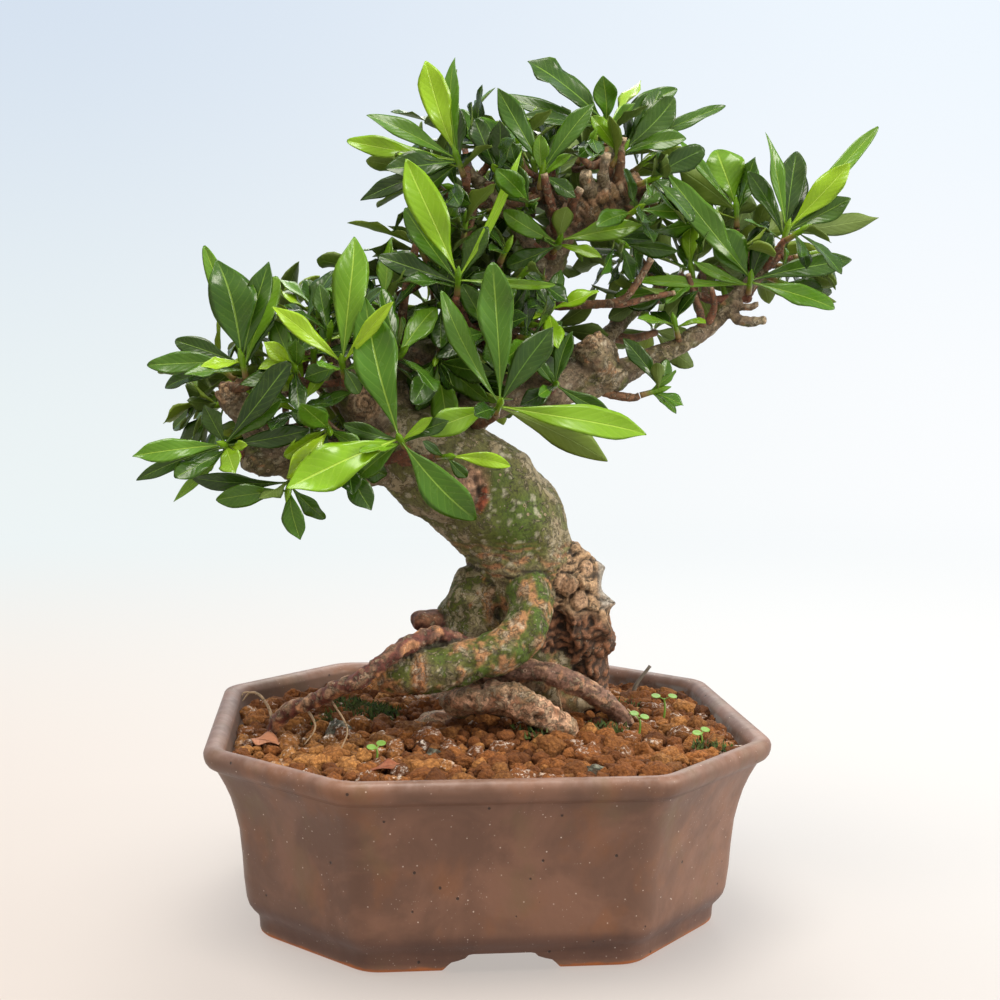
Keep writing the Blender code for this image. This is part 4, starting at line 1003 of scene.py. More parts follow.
    if limb in ("trunk", "lobe", "loop"):
        colour = colour.lerp(CRUST, 0.55 * patches(p, 2.6, 0.32, 0.5, (7, 7, 7)))
        colour = colour.lerp(CRUMB, edge_of(88, 74, p.z) * (0.5 + 0.5 * middle))
    return height, colour, scales


def bark_of_limbs(p, limb, along, spoke, front):
    """(height in mm, colour, share of scales) at a point of a limb."""
    fine, middle, coarse = (noise.noise(p / size) for size in (1.7, 4.2, 14.0))
    folds = fibres(along, spoke, 0.6, 1.4)
    scaly = patches(p, 5.5, -0.1, 0.35, (9, 3, 1))
    height = 0.45 * middle + 0.2 * fine + 0.4 * scaly - 0.55 * abs(folds)
    colour = GREY_BROWN.lerp(SCALE, 0.55 * scaly).lerp(OLIVE, 0.7 * edge_of(0.0, 0.4, coarse))
    colour = colour.lerp(CRACK, 0.55 * edge_of(0.12, 0.0, abs(folds)))
    colour = colour.lerp(GREEN, 0.75 * patches(p, 9, 0.15, 0.4, (3, 1, 6)))
    colour = colour.lerp(PEEL, 0.7 * patches(p, 3.6, 0.38, 0.55))
    # healed cuts, the gnarled upper part of the leader, and the pale ends of cut stubs
    for x, z, size in SCARS:
        away = sqrt((p.x - x) ** 2 + (p.z - z) ** 2)
        scar = front * edge_of(size + 1, size - 1, away)
        rings = sin(2 * pi * away / 2.1 + 2 * middle)
        height += scar * 0.5 * rings
        colour = colour.lerp(CORK * (0.9 + 0.35 * rings), scar)
    gnarled = edge_of(256, 268, p.z) * (limb == "leader")
    height += gnarled * (0.55 * sin(2 * pi * (along + middle) / 3.1) + 0.7 * middle)
    colour = colour.lerp(GNARLED_WOOD * (1 + middle), 0.65 * gnarled)
    for *end, radius in (keys[-1] for keys in SMALL_STUBS):
        colour = colour.lerp(CUT_WOOD, edge_of(1.6, 1.0, (p - Vector(end)).length / radius))
    collar = spot(p, 47, 210, 9, 7)
    colour = colour.lerp(PEEL.lerp(LIP, 0.4), 0.5 * collar * edge_of(-0.2, 0.3, middle))
    colour = colour.lerp(CRUST, 0.4 * patches(p, 2.4, 0.34, 0.5, (7, 7, 7)))
    return height, colour, 0.12 + 0.35 * scaly


# %% Carving
CARVE_STEPS = 10
DARKEST = 0.004


def carve(piece, limbs, bark_at):
    """Pushes each point in or out along its normal, and stores its colour as its tint."""
    centres, forwards, radii, runs, owners = [], [], [], [], []
    for name, (keys, _) in limbs.items():
        path = smooth_path(keys, CARVE_STEPS)
        run = 0.0
        for i, now in enumerate(path):
            after, before = path[min(i + 1, len(path) - 1)], path[max(i - 1, 0)]
            run += (now - before).to_3d().length
            centres.append(now.to_3d())
            forwards.append((after - before).to_3d().normalized())
            radii.append(max(now.w, 0.5))
            runs.append(run)
            owners.append(name)
    centre_array, radius_array = np.array(centres, np.float32), np.array(radii, np.float32)
    count = len(piece.data.vertices)
    places, normals = np.empty(count * 3, np.float32), np.empty(count * 3, np.float32)
    piece.data.vertices.foreach_get("co", places)
    piece.data.vertices.foreach_get("normal", normals)
    places = places.reshape(-1, 3) / MM
    normals = normals.reshape(-1, 3)
    tints = np.ones((count, 4), np.float32)
    for start in range(0, count, 4000):
        part = places[start:start + 4000]
        apart = np.linalg.norm(part[:, None] - centre_array[None], axis=2) / radius_array[None]
        for k, owner in enumerate(apart.argmin(axis=1)):
            index = start + k
            p = Vector(places[index].tolist())
            from_centre = p - centres[owner]
            along = runs[owner] + from_centre.dot(forwards[owner])
            spoke = (from_centre - forwards[owner] * from_centre.dot(forwards[owner])).normalized()
            front = edge_of(0.45, -0.1, spoke.y)
            height, colour, tints[index, 3] = bark_at(p, owners[owner], along, spoke, front)
            places[index] += normals[index] * height
            tints[index, :3] = [max(c, DARKEST) for c in colour]
    piece.data.vertices.foreach_set("co", (places * MM).reshape(-1))
    store_tint(piece, tints.reshape(-1))
    piece.data.shade_smooth()
    piece.data.update()


carve(trunk_piece, LOW_LIMBS, bark_of_trunk)
carve(limbs_piece, HIGH_LIMBS, bark_of_limbs)
print("carved", len(trunk_piece.data.vertices) + len(limbs_piece.data.vertices), "points")

# %% [markdown]
# ## The twigs
#
# A twig is thin, brown or still green, and ringed where old leaves fell off. It is a tube whose
# radius swells a little at each ring. The twigs are made once it is known where the tufts stand,
# so only the two functions that make them are written here.

# %% The twigs
TWIG_BROWN = Vector((0.16, 0.085, 0.04))
TWIG_RED = Vector((0.17, 0.06, 0.03))
RING_PITCH = 2.6
RING_SWELL = 0.16


def ringed_tube(keys):
    """A tube along the keys whose radius swells at rings."""
    path = smooth_path(keys, 7)
    total = sum((b - a).to_3d().length for a, b in zip(path, path[1:]))
    run, ringed = 0.0, [tuple(path[0])]
    for a, b in zip(path, path[1:]):
        run += (b - a).to_3d().length
        ring = max(0.0, cos(2 * pi * run / RING_PITCH)) ** 3
        ring *= min(1.0, 4 * (1 - run / (total + 0.01)))
        ringed.append((*b.to_3d(), b.w * (1 + RING_SWELL * ring)))
    return tube(ringed, 9, 1, 0.0, 0.12)


def twigs_piece(name, twigs):
    """One piece of ringed twigs, each given as (keys, colour, whether its end is a pale cut)."""
    made = []
    for keys, colour, cut in twigs:
        twig = mesh_piece("twig", *ringed_tube(keys))
        *end, radius = keys[-1]
        places = [v.co / MM for v in twig.data.vertices]
        shades = [1 + 0.5 * noise.noise(p / 3) for p in places]
        tips = [cut * edge_of(1.6, 0.9, (p - Vector(end)).length / radius) for p in places]
        store_tint(twig, [c for shade, tip in zip(shades, tips)
                          for c in (*(colour * shade).lerp(CUT_WOOD, tip), 0.2)])
        made.append(twig)
    pick(*made)
    bpy.ops.object.join()
    made[0].name = name
    return made[0]


# %% [markdown]
# ## The bark's finish
#
# The carving has stored the ground colour of each point. The finish adds what is smaller than the
# carving: scales, pale flecks of dry moss, little round breathing pores with a light rim, and fine
# grain. The pointiness of the surface darkens the hollows, as painted shade.

# %% The bark's material
bark = Paint("bark")
tint = bark.attribute("tint", "Color")
scales = bark.attribute("tint", "Alpha")
grain = bark.noise(1.1, 5, 0.7)
contrast = bark.mix(grain.step(0.3, 0.7), (0.55, 0.53, 0.5), (1.35, 1.35, 1.33))
tone = bark.noise(6, 3)
flake = bark.noise(3.4, 6, 0.72, warp=0.9) + scales * 0.2
flake_colour = bark.mix(0.25, bark.mix(tone, (0.2, 0.155, 0.085), (0.44, 0.37, 0.25)), tint)
outline = flake.step(0.565, 0.595) * flake.step(0.645, 0.615)
threads = (bark.noise(4.5, 2, 0.5, bark.stretched(1, 1, 0.6), 2.2) - 0.5).through("ABSOLUTE")
pale_threads = threads.step(0.014, 0.004) * bark.noise(19).step(0.5, 0.62) * scales.step(0.2, 0.5)
pore = bark.cells(4.2)
pore_rim = pore.step(0.10, 0.14) * pore.step(0.22, 0.17) * bark.noise(13, 1).step(0.5, 0.56)
specks = bark.cells(1.9).step(0.2, 0.1) * tone.step(0.5, 0.6)
# painted shade: the hollows, found by the pointiness, are darkened
shade_in_hollows = bark.geometry("Pointiness").step(0.5, 0.44)
colour = bark.coats(
    bark.mix(1.0, tint, contrast, "MULTIPLY"),
    (flake.step(0.60, 0.63) * 0.75, flake_colour), (outline * 0.6, (0.05, 0.04, 0.018)),
    (pale_threads * 0.75, (0.55, 0.52, 0.43)), (pore_rim * 0.7, (0.42, 0.3, 0.2)),
    (specks * 0.5, (0.5, 0.42, 0.32)), (shade_in_hollows * 0.8, (0.02, 0.014, 0.009)))
relief = grain * 0.9 + flake.step(0.57, 0.63) * 0.8 + pore_rim * 0.6 + pale_threads * 0.5
finish_bark = bark.finish(colour, 0.6 + grain * 0.3, relief, 0.5)
settle(trunk_piece, finish_bark, ["tree"])
settle(limbs_piece, finish_bark, ["tree"])

# %% [markdown]
# ## The leaves: where each one goes
#
# Leaves can't pass through wood or through each other. Each leaf is tried where it is wanted, and
# if it meets something it is turned, tilted and shortened a little, again and again, until it
# meets nothing. The trial uses a rough blade of a few triangles, because many trials are needed
# and only its outline matters. The rough blades are those of the solids, so each fine leaf grows
# where the solid has one. The leaves that were drawn from the front are then rolled a little about
# their own length, to show their whole width there.

# %% Rough blades and where they fit
PETIOLE = 0.07
LEAF_TURN = 2.4
TRIALS = 60
WIDE_PROBE = 1.7
CLOSE_PROBE = 0.9
OLD_LEAVES = 0.72


def in_triangles(shape):
    """The same shape with each quad between two rings split the way that the solids split it."""
    points, faces = shape
    split = []
    for face in faces:
        if len(face) == 4 and face[2] - face[1] == face[3] - face[0] > 0:
            a, b, c, d = face
            split += [(a, b, c), (a, c, d)]
        else:
            split.append(face)
    return points, split


def as_tree(shape):
    return BVHTree.FromPolygons(*shape)


def rough_wood(grow):
    """The tubes of the wood as the solids have them, a little thicker."""
    sides = {"trunk": 11, "lobe": 7, "burl": 8, "loop": 8, "cross": 6, "front": 7}
    made = [(keys, sides.get(name, 5), knobs) for name, (keys, knobs) in LOW_LIMBS.items()]
    made += [(keys, 4 if name.startswith("small") else 6, knobs)
             for name, (keys, knobs) in HIGH_LIMBS.items()]
    made += [(twig_keys(shoot), 3, 0.15) for shoot in SHOOTS]
    return [in_triangles(tube(keys, count, 1, grow, knobs)) for keys, count, knobs in made]


def half_width(u, width):
    """Half the width of a leaf at u, from 0 at its stalk to 1 at its tip."""
    t = max(0.0, (u - PETIOLE) / (1 - PETIOLE))
    return 0.5 * width * max(sin(pi * min(t, 1) ** 1.3), 0) ** 0.85 + 0.45 * (1 - u)


def blade_rows(leaf, stations):
    """Rows of (left edge, midrib, right edge, upward direction) along a leaf, from its base."""
    base, reach, face, width, _, curl, wave, phase = leaf
    length = reach.length
    forward = reach / length
    face = (face - forward * face.dot(forward)).normalized()
    side = forward.cross(face)
    rows = []
    for u in stations:
        half = half_width(u, width)
        middle = base + forward * (length * u) + face * (curl * length * u * (1 - u))
        lift = 0.22 * half
        ripple = wave * half * sin(2 * pi * (1.6 * u + phase))
        rows.append((middle - side * half + face * (lift + ripple), middle,
                     middle + side * half + face * (lift - ripple), face))
    return rows


def ridge_split(points, a, b, c, d):
    """Two triangles for a twisted four-sided face, split along the way that bulges outwards."""
    out = (points[b] - points[a]).cross(points[c] - points[a])
    if (points[d] - points[a]).dot(out) > 0:
        return [(a, b, d), (b, c, d)]
    return [(a, b, c), (a, c, d)]


def rough_blade(leaf, thickness, start=0.0):
    """A leaf as the solids have it, or a thicker one for trials, from start to its tip."""
    base, reach = leaf[:2]
    inner = (0.3, 0.56, 0.8) if reach.length > 40 else (0.36, 0.72)
    if reach.length < 16:
        inner = (0.52,)
    rows = blade_rows(leaf, [start] + [u for u in inner if u > start + 0.1])
    points = []
    for left, middle, right, up in rows:
        drop = 0.7 * ((left + right) / 2 - middle)
        points += [left - drop, middle - up * 0.5 * thickness, right - drop]
    points.append(base + reach)
    faces = [(0, 1, 2)]
    for r in range(len(rows) - 1):
        for k in range(3):
            m = (k + 1) % 3
            faces += ridge_split(points, 3 * r + m, 3 * r + k, 3 * r + 3 + k, 3 * r + 3 + m)
    last, tip = 3 * (len(rows) - 1), len(points) - 1
    faces += [(last + (k + 1) % 3, last + k, tip) for k in range(3)]
    return points, faces


def rough_stem(shoot, grow=0.0):
    foot, top, way = shoot_frame(shoot)
    bud = top + way * BUD_LENGTH
    return in_triangles(tube([(*foot, SHOOT_RADIUS), (*top, SHOOT_RADIUS), (*bud, 0.35)],
                             4, 1, grow))


def fit_leaf(base, reach, way, width, tone, obstacles, placed, own, draw, suits):
    """The leaf as wanted, or turned, tilted and shortened a little until it crosses nothing."""
    curl, wave, phase = draw.uniform(0.02, 0.14), draw.uniform(0.05, 0.3), draw.random()
    length = reach.length
    for trial in range(TRIALS):
        slack = trial / TRIALS
        turn = Matrix.Rotation(draw.uniform(-1.5, 1.5) * slack, 3, way)
        tilt = Matrix.Rotation(draw.uniform(-1.1, 1.1) * slack, 3, reach.cross(way).normalized())
        bent = (turn @ tilt @ reach) * (1 - 0.35 * slack)
        face = way - bent * (way.dot(bent) / bent.length_squared)
        if face.length < 0.25:
            face = face + Vector((0, -0.6, 0.3))
        if tone == "under":
            face = Vector((0, 1, 0.5))
        spoke = bent - way * way.dot(bent)
        root = base + spoke.normalized() * (0.2 * SHOOT_RADIUS)
        leaf = (root, bent, face, width * (1 - 0.2 * slack), tone, curl, wave, phase)
        if suits and not suits(root, bent):
            continue
        probe = as_tree(rough_blade(leaf, WIDE_PROBE, start=0.12))
        middle = base + bent / 2
        near = [tree for group in placed for tree, other in group
                if other is None
                or (other[0] + other[1] / 2 - middle).length < (other[1].length + length) / 2 + 9]
        if any(probe.overlap(tree) for tree in obstacles + near):
            continue
        outer = as_tree(rough_blade(leaf, CLOSE_PROBE, start=0.3))
        if any(outer.overlap(as_tree(rough_blade(other, CLOSE_PROBE, start=0.3)))
               for other in own):
            continue
        return leaf
    return None


def plan_shoot(shoot, obstacles, placed, suits=None):
    """The leaves of one shoot, which then stand in the way of the next ones."""
    name, _, _, count, length, drawn = shoot
    draw = random.Random(name + str(SEED))
    _, top, way = shoot_frame(shoot)
    start = way.orthogonal().normalized()
    own = []
    wanted = [(tone, Vector((x, y, z)), width) for tone, x, y, z, width in drawn]
    for k in range(count):
        spoke = Matrix.Rotation(LEAF_TURN * k + draw.uniform(-0.3, 0.3), 3, way) @ start
        lean = 0.75 + 0.6 * (k / max(count - 1, 1)) + draw.uniform(-0.15, 0.15)
        reach = (way * cos(lean) + spoke * sin(lean)) * length * draw.uniform(0.9, 1.2)
        tone = "dark" if draw.random() < OLD_LEAVES else draw.choice(("fresh", "bright"))
        wanted.append((tone, reach, reach.length * draw.uniform(0.34, 0.42)))
    for k, (tone, reach, width) in enumerate(wanted):
        leaf = fit_leaf(top - way * (0.5 + 5.5 * k / len(wanted)), reach, way, width, tone,
                        obstacles, placed, own, draw, suits)
        if leaf:
            own.append(leaf)
    placed.append([(as_tree(rough_blade(leaf, WIDE_PROBE)), leaf) for leaf in own])
    placed.append([(as_tree(rough_stem(shoot, 0.5)), None)])
    return own


# %% The leaves of the solids, planned again
WOOD_CLEARANCE = 0.4
wood_in_the_way = [as_tree(shape) for shape in rough_wood(WOOD_CLEARANCE)]
placed_leaves = []
plan = [(shoot, plan_shoot(shoot, wood_in_the_way, placed_leaves)) for shoot in SHOOTS]
print("leaves of the solids", sum(len(leaves) for _, leaves in plan))

# %% The drawn leaves, turned to the camera
FACED = 0.72
MOVED_TIPS = {("upper_bright", 0): (0, -3, 0), ("upper_bright", 1): (0, -12, 0),
              ("right_high", 5): (7, 0, 4), ("crown_top", 0): (0, 0, -1.6)}
WIDER = {("crown_top", 0): 1.6, ("upper_bright", 0): 1.25, ("right_high", 5): 1.4}


def turned_to_view(shoot, number, leaf):
    """A drawn leaf rolled about its own length, so that it shows the width that was drawn."""
    root, reach, face, width, tone, curl, wave, phase = leaf
    forward = reach.normalized()
    face = (face - forward * face.dot(forward)).normalized()
    shown = backward - forward * backward.dot(forward)
    if shown.length < 0.35:
        return leaf
    shown = -shown.normalized() if tone == "under" else shown.normalized()
    reach = reach + Vector(MOVED_TIPS.get((shoot[0], number), (0, 0, 0)))
    width *= WIDER.get((shoot[0], number), 1)
    return root, reach, face.lerp(shown, FACED), width, tone, curl, wave, phase


plan = [(shoot, [turned_to_view(shoot, number, leaf) if number < len(shoot[5]) else leaf
                 for number, leaf in enumerate(leaves)]) for shoot, leaves in plan]
placed_leaves += [[(as_tree(rough_blade(leaf, CLOSE_PROBE)), leaf) for leaf in leaves]
                  for _, leaves in plan]
print("turned", sum(min(len(shoot[5]), len(leaves)) for shoot, leaves in plan), "drawn leaves")

# %% [markdown]
# ## The leaves: filling the crown
#
# The solids hold few leaves, to stay light. The real crown is so dense that hardly any sky shows
# through it, and its inside is dark. More tufts are sown by a seeded rule in four clouds round the
# limbs. A tuft is kept if its twig meets no leaf. One of its leaves is kept if it stays in the
# crown's outline as the camera sees it, if it stands behind the leaves that were drawn one by
# one and behind the gaps through which the wood is seen, and if it meets nothing.

# %% More tufts
CLOUDS = [("left", (-68, -4, 208), (56, 50, 32), 21), ("middle", (-12, 6, 238), (52, 50, 36), 24),
          ("crown", (26, 14, 288), (58, 46, 34), 36), ("right", (98, 18, 264), (52, 42, 30), 20)]
CROWN_IN_PIXELS = [
    (137, 478), (146, 430), (158, 362), (200, 322), (204, 236), (275, 262), (345, 240), (376, 235),
    (360, 196), (340, 135), (372, 112), (424, 68), (448, 57), (472, 84), (520, 78), (535, 43),
    (575, 52), (612, 92), (662, 80), (728, 94), (700, 112), (745, 132), (765, 133), (796, 146),
    (885, 127), (856, 160), (846, 205), (885, 208), (832, 236), (848, 256), (834, 302), (770, 292),
    (740, 300), (700, 316), (655, 300), (610, 318), (640, 350), (683, 392), (678, 412), (640, 396),
    (608, 380), (600, 400), (648, 430), (607, 458), (520, 432), (478, 462), (472, 518), (428, 500),
    (385, 502), (332, 530), (318, 496), (240, 490), (175, 498)]
OLD_TWIGS = [
    [(30, 6, 267, 2.2), (28, -2, 272, 1.9), (24.5, -8, 281, 1.8), (22.5, -10, 288, 1.6)],
    [(54, 8, 284, 2.2), (55, 2, 292, 1.8), (55, 0, 300, 1.6), (55.5, -1, 304, 1.5)],
    [(36, 6, 271, 2), (35, -2, 277, 1.9), (38, -5, 283, 1.6)],
    [(58, 5, 286, 2), (63, -1, 284, 1.7), (68, -4, 288, 1.5)],
    [(-34, -2, 216, 2.2), (-32, -10, 236, 1.8), (-29.4, -14, 251, 1.6), (-24.6, -16, 269, 1.4),
     (-22, -15, 276, 1.2)],
    [(30, 11, 238, 2.2), (46, 2, 238, 1.7), (56, -2, 240, 1.5), (61, -4, 246, 1.4),
     (67, -4, 256, 1.3)],
    [(46, 2, 238, 1.5), (56, 0, 238, 1.3), (68, 0, 241, 1.2), (78, 2, 243, 1)],
    [(92, 11, 229, 1.9), (90, 8, 236, 1.6), (87, 6, 243, 1.3), (84, 5, 251, 1.1)],
    [(94, 11, 230, 1.8), (96, 8, 238, 1.4), (94, 6, 246, 1.2)],
]
LEAF_ROOM = (Vector((-130, -106, 0)), Vector((166, 106, 335)))
WINDOWS_IN_PIXELS = [(535, 158, 645, 224), (462, 160, 492, 194), (486, 190, 514, 218),
                     (506, 212, 536, 242), (397, 225, 426, 300), (682, 268, 712, 312),
                     (398, 338, 440, 368), (335, 392, 380, 432),
                     (212, 385, 242, 425), (685, 288, 748, 332), (560, 226, 590, 300)]
BEHIND_WINDOWS = 30
TUFTS_APART = 10.5
FEWEST_LEAVES = 3
LONGEST_TWIG = 46
IN_FRONT = 11
IN_FRONT_DEPTH = 3
SENSOR_WIDTH = 36
PICTURE_WIDTH = 1000


def seen(p):
    """Where a point shows in the picture, in pixels, and how far it is from the camera."""
    offset = p - AIM - backward * CAMERA_DISTANCE
    away = -offset.dot(backward)
    scale = CAMERA_LENS / SENSOR_WIDTH * PICTURE_WIDTH / away
    middle = PICTURE_WIDTH / 2
    return middle + scale * offset.dot(right), middle - scale * offset.dot(up), away


def in_crown(p):
    """Whether a point shows within the crown's outline, by counting the edges to its right."""
    u, v, _ = seen(p)
    crossings = 0
    for (a, b), (c, d) in zip(CROWN_IN_PIXELS, CROWN_IN_PIXELS[1:] + CROWN_IN_PIXELS[:1]):
        if (b > v) != (d > v) and u < a + (v - b) * (c - a) / (d - b):
            crossings += 1
    return crossings % 2 == 1


drawn_places = [seen(leaf[0] + leaf[1] * t) for shoot, leaves in plan
                for leaf in leaves[:len(shoot[5])] for t in (0.15, 0.4, 0.65, 0.9)]


def suits_the_crown(root, reach):
    """Whether an added leaf keeps to the outline and leaves the drawn ones in view."""
    for t in (0.35, 0.7, 1.0):
        p = root + reach * t
        inside = all(low < x < high for low, x, high in zip(LEAF_ROOM[0], p, LEAF_ROOM[1]))
        if not in_crown(p) or not inside:
            return False
        u, v, away = seen(p)
        if p.y < BEHIND_WINDOWS and any(a < u < c and b < v < d
                                        for a, b, c, d in WINDOWS_IN_PIXELS):
            return False
        if any(away < depth + IN_FRONT_DEPTH and abs(u - a) < IN_FRONT and abs(v - b) < IN_FRONT
               for a, b, depth in drawn_places):
            return False
    return True


def ways_to(shoot, stems):
    """Bent twigs to a shoot from the nearest places of the five nearest stems, nearest first."""
    foot, _, way = shoot_frame(shoot)
    nearest = [min(stem, key=lambda k: (k.to_3d() - foot).length) for stem in stems]
    nearest.sort(key=lambda k: (k.to_3d() - foot).length + (0 if k.z < foot.z + 4 else 8))
    for start in nearest[:5]:
        reach = (foot - start.to_3d()).length
        if reach < LONGEST_TWIG:
            radius = min(start.w * 0.8, 1.4 + 0.03 * reach)
            yield bent_twig(start.to_3d(), foot, way, radius, 0.6, 2, (1.3, 1.2))


def more_tufts(cloud, centre, radii, count, draw):
    """Tufts sown in one cloud, as (shoot, its leaves, its twig)."""
    made = []
    for trial in range(50 * count):
        spoke = any_way(draw)
        size = draw.uniform(0.3, 1.0)
        top = Vector(centre) + Vector([s * r * size for s, r in zip(spoke, radii)])
        way = (spoke + Vector((0, -0.15, 0.35))).normalized()
        if min((top - other).length for other in tops) < TUFTS_APART or not in_crown(top):
            continue
        shoot = ("%s_%d" % (cloud, trial), tuple(top), tuple(way), draw.choice((6, 7, 8)),
                 draw.uniform(20, 28), [])
        blades = [tree for group in placed_leaves for tree, leaf in group if leaf is None
                  or (leaf[0] - top).length < LONGEST_TWIG + leaf[1].length]
        stem = as_tree(rough_stem(shoot, 0.8))
        if any(stem.overlap(tree) for tree in blades + wood_in_the_way):
            continue
        for keys in ways_to(shoot, stems):
            twig = as_tree(tube(keys, 4, 1, WOOD_CLEARANCE))
            if not any(twig.overlap(tree) for tree in blades):
                break
        else:
            continue
        leaves = plan_shoot(shoot, wood_in_the_way, placed_leaves, suits_the_crown)
        if len(leaves) < FEWEST_LEAVES:
            del placed_leaves[-2:]
            continue
        placed_leaves.append([(twig, None)])
        stems.append(smooth_path(keys, 4)[3:])
        tops.append(top)
        made.append((shoot, leaves, keys))
        if len(made) == count:
            break
    return made


wood_in_the_way += [as_tree(tube(keys, 5, 1, WOOD_CLEARANCE)) for keys in OLD_TWIGS]
stems = [smooth_path(keys, 4)[4:] for keys in LIMBS.values()]
stems += [smooth_path(twig_keys(shoot), 4)[3:] for shoot in SHOOTS]
tops = [Vector(shoot[1]) for shoot in SHOOTS]
sow = random.Random(SEED + 9)
added = {cloud: more_tufts(cloud, centre, radii, count, sow)
         for cloud, centre, radii, count in CLOUDS}
for cloud, tufts in added.items():
    print(cloud, "tufts", len(tufts), "leaves", sum(len(leaves) for _, leaves, _ in tufts))

# %% Making the twigs
twig_lines = [twig_keys(shoot) for shoot in SHOOTS]
twig_lines += [keys for tufts in added.values() for _, _, keys in tufts]
draw = random.Random(SEED + 5)
twigs = twigs_piece("bark_twigs",
                    [(keys, TWIG_BROWN.lerp(TWIG_RED, draw.random()), keys in OLD_TWIGS)
                     for keys in twig_lines + OLD_TWIGS])
settle(twigs, finish_bark, ["tree"])

# %% [markdown]
# ## The leaves: one leaf, modelled once
#
# A gardenia leaf is a thin lens: widest past its middle, with a channel along its midrib and
# edges that lift and wave. The master leaf is a flat grid and its turned-over copy, bulged by the
# thickness of the leaf and welded along the border, so that it is closed. Along it runs u, across
# it runs v, and both are kept as its UV map, which the veins will use. Each copy of it is then
# bent to the length, the width and the wave of its own leaf. A finer master serves the leaves that
# were drawn one by one.

# %% The master leaf
LEAF_THICKNESS = 0.55


def master_leaf(along, across):
    """The arrays of a closed leaf with along times across faces on each side."""
    bpy.ops.mesh.primitive_grid_add(x_subdivisions=along, y_subdivisions=across, size=2)
    leaf = bpy.context.object
    bpy.ops.object.mode_set(mode="EDIT")
    bpy.ops.mesh.select_all(action="SELECT")
    bpy.ops.mesh.duplicate_move()
    bpy.ops.mesh.flip_normals()
    under = bmesh.from_edit_mesh(leaf.data)
    for vertex in under.verts:
        x, y, _ = vertex.co
        bulge = sqrt(max(0.0, (1 - x * x) * (1 - y * y)))
        vertex.co.z = -bulge if vertex.select else bulge
        vertex.co.x = x + 0.6 * (sin(pi * x / 2) - x)
    bmesh.update_edit_mesh(leaf.data)
    bpy.ops.mesh.select_all(action="SELECT")
    bpy.ops.mesh.remove_doubles(threshold=0.0001)
    bpy.ops.object.mode_set(mode="OBJECT")
    return taken_arrays(leaf)


def taken_arrays(piece):
    """The points, the faces' corners and the faces' sizes of a piece, which is then removed."""
    mesh = piece.data
    points = np.empty(len(mesh.vertices) * 3)
    mesh.vertices.foreach_get("co", points)
    corners = np.empty(len(mesh.loops), np.int64)
    mesh.loops.foreach_get("vertex_index", corners)
    sizes = np.empty(len(mesh.polygons), np.int64)
    mesh.polygons.foreach_get("loop_total", sizes)
    bpy.data.objects.remove(piece, do_unlink=True)
    return points.reshape(-1, 3), corners, sizes


fine_leaf = master_leaf(19, 8)
plain_leaf = master_leaf(12, 6)
print("master leaves", len(fine_leaf[2]), len(plain_leaf[2]), "faces")

# %% [markdown]
# ## The leaves: bending the copies
#
# A copy keeps the line, the width and the lift of its rough blade. To that it adds what a few
# triangles can't show: a blunt or a fine tip, edges that are a little uneven and waved, a twist
# towards the tip, and a sideways sweep of the midrib.

# %% Bending the leaves
def edge_waves(u, v, draw, fewest, most, shift):
    """Waves along both edges of a leaf, those of one edge shifted against the other's."""
    return np.sin(2 * pi * (draw.uniform(fewest, most) * u + draw.random() + shift * np.sign(v)))


def bent_leaf(leaf, master, draw):
    """The master's points bent into one leaf, in millimetres."""
    base, reach, face, width, tone, curl, wave, phase = leaf
    length = reach.length
    forward = reach / length
    face = (face - forward * face.dot(forward)).normalized()
    side = np.array(forward.cross(face))
    forward, face, base = np.array(forward), np.array(face), np.array(base)
    u = np.clip((master[:, 0] + 1) / 2, 0.0, 0.997)
    v = master[:, 1]
    t = np.clip((u - PETIOLE) / (1 - PETIOLE), 0, 1)
    blunt = draw.random()
    shape = np.maximum(np.sin(pi * t ** (1.3 + 0.35 * blunt)), 0) ** (0.9 - 0.35 * blunt * t)
    point = np.clip((u - 0.8) / 0.2, 0, 1)
    slender = 1 - 0.4 * (1 - blunt) * point * point * (3 - 2 * point)
    half = 0.5 * width * shape * slender + 0.45 * (1 - u) ** 1.5 + 0.03
    half = half * (1 + draw.uniform(0.02, 0.1) * edge_waves(u, v, draw, 1.4, 2.4, 0.3))
    ripple = wave * half * np.sin(2 * pi * (1.6 * u + phase))
    frill = draw.uniform(0.04, 0.13) * half * edge_waves(u, v, draw, 2.6, 3.8, 0.25)
    sweep = draw.uniform(-0.17, 0.17) * length * u * (1 - u)
    droop = draw.uniform(-0.1, 0.03) * length * u ** 3 * min(1.0, length / 40)
    twist = draw.uniform(-0.5, 0.5) * u * u
    rise = curl * length * u * (1 - u) + 0.19 * half * v ** 2
    rise = rise - ripple * v + frill * np.abs(v) ** 2.5
    rise += 0.35 * LEAF_THICKNESS * (1 + 1.2 * (1 - u)) * master[:, 2] + droop
    rise -= 0.25 * np.exp(-(v * half / 0.55) ** 2)
    across = half * v * (1 - 0.05 * np.abs(v))
    across, rise = (across * np.cos(twist) - rise * np.sin(twist) + sweep,
                    across * np.sin(twist) + rise * np.cos(twist))
    return base + np.outer(length * u, forward) + np.outer(across, side) + np.outer(rise, face)


# %% Joining many small meshes into one piece
AGES = {"dark": (0.0, 0.38), "fresh": (0.5, 0.74), "bright": (0.82, 1.0), "under": (0.15, 0.4)}
STEM_AGE = 0.7


def empty_sheets():
    return {key: [] for key in ("points", "corners", "sizes", "shade", "uv")}


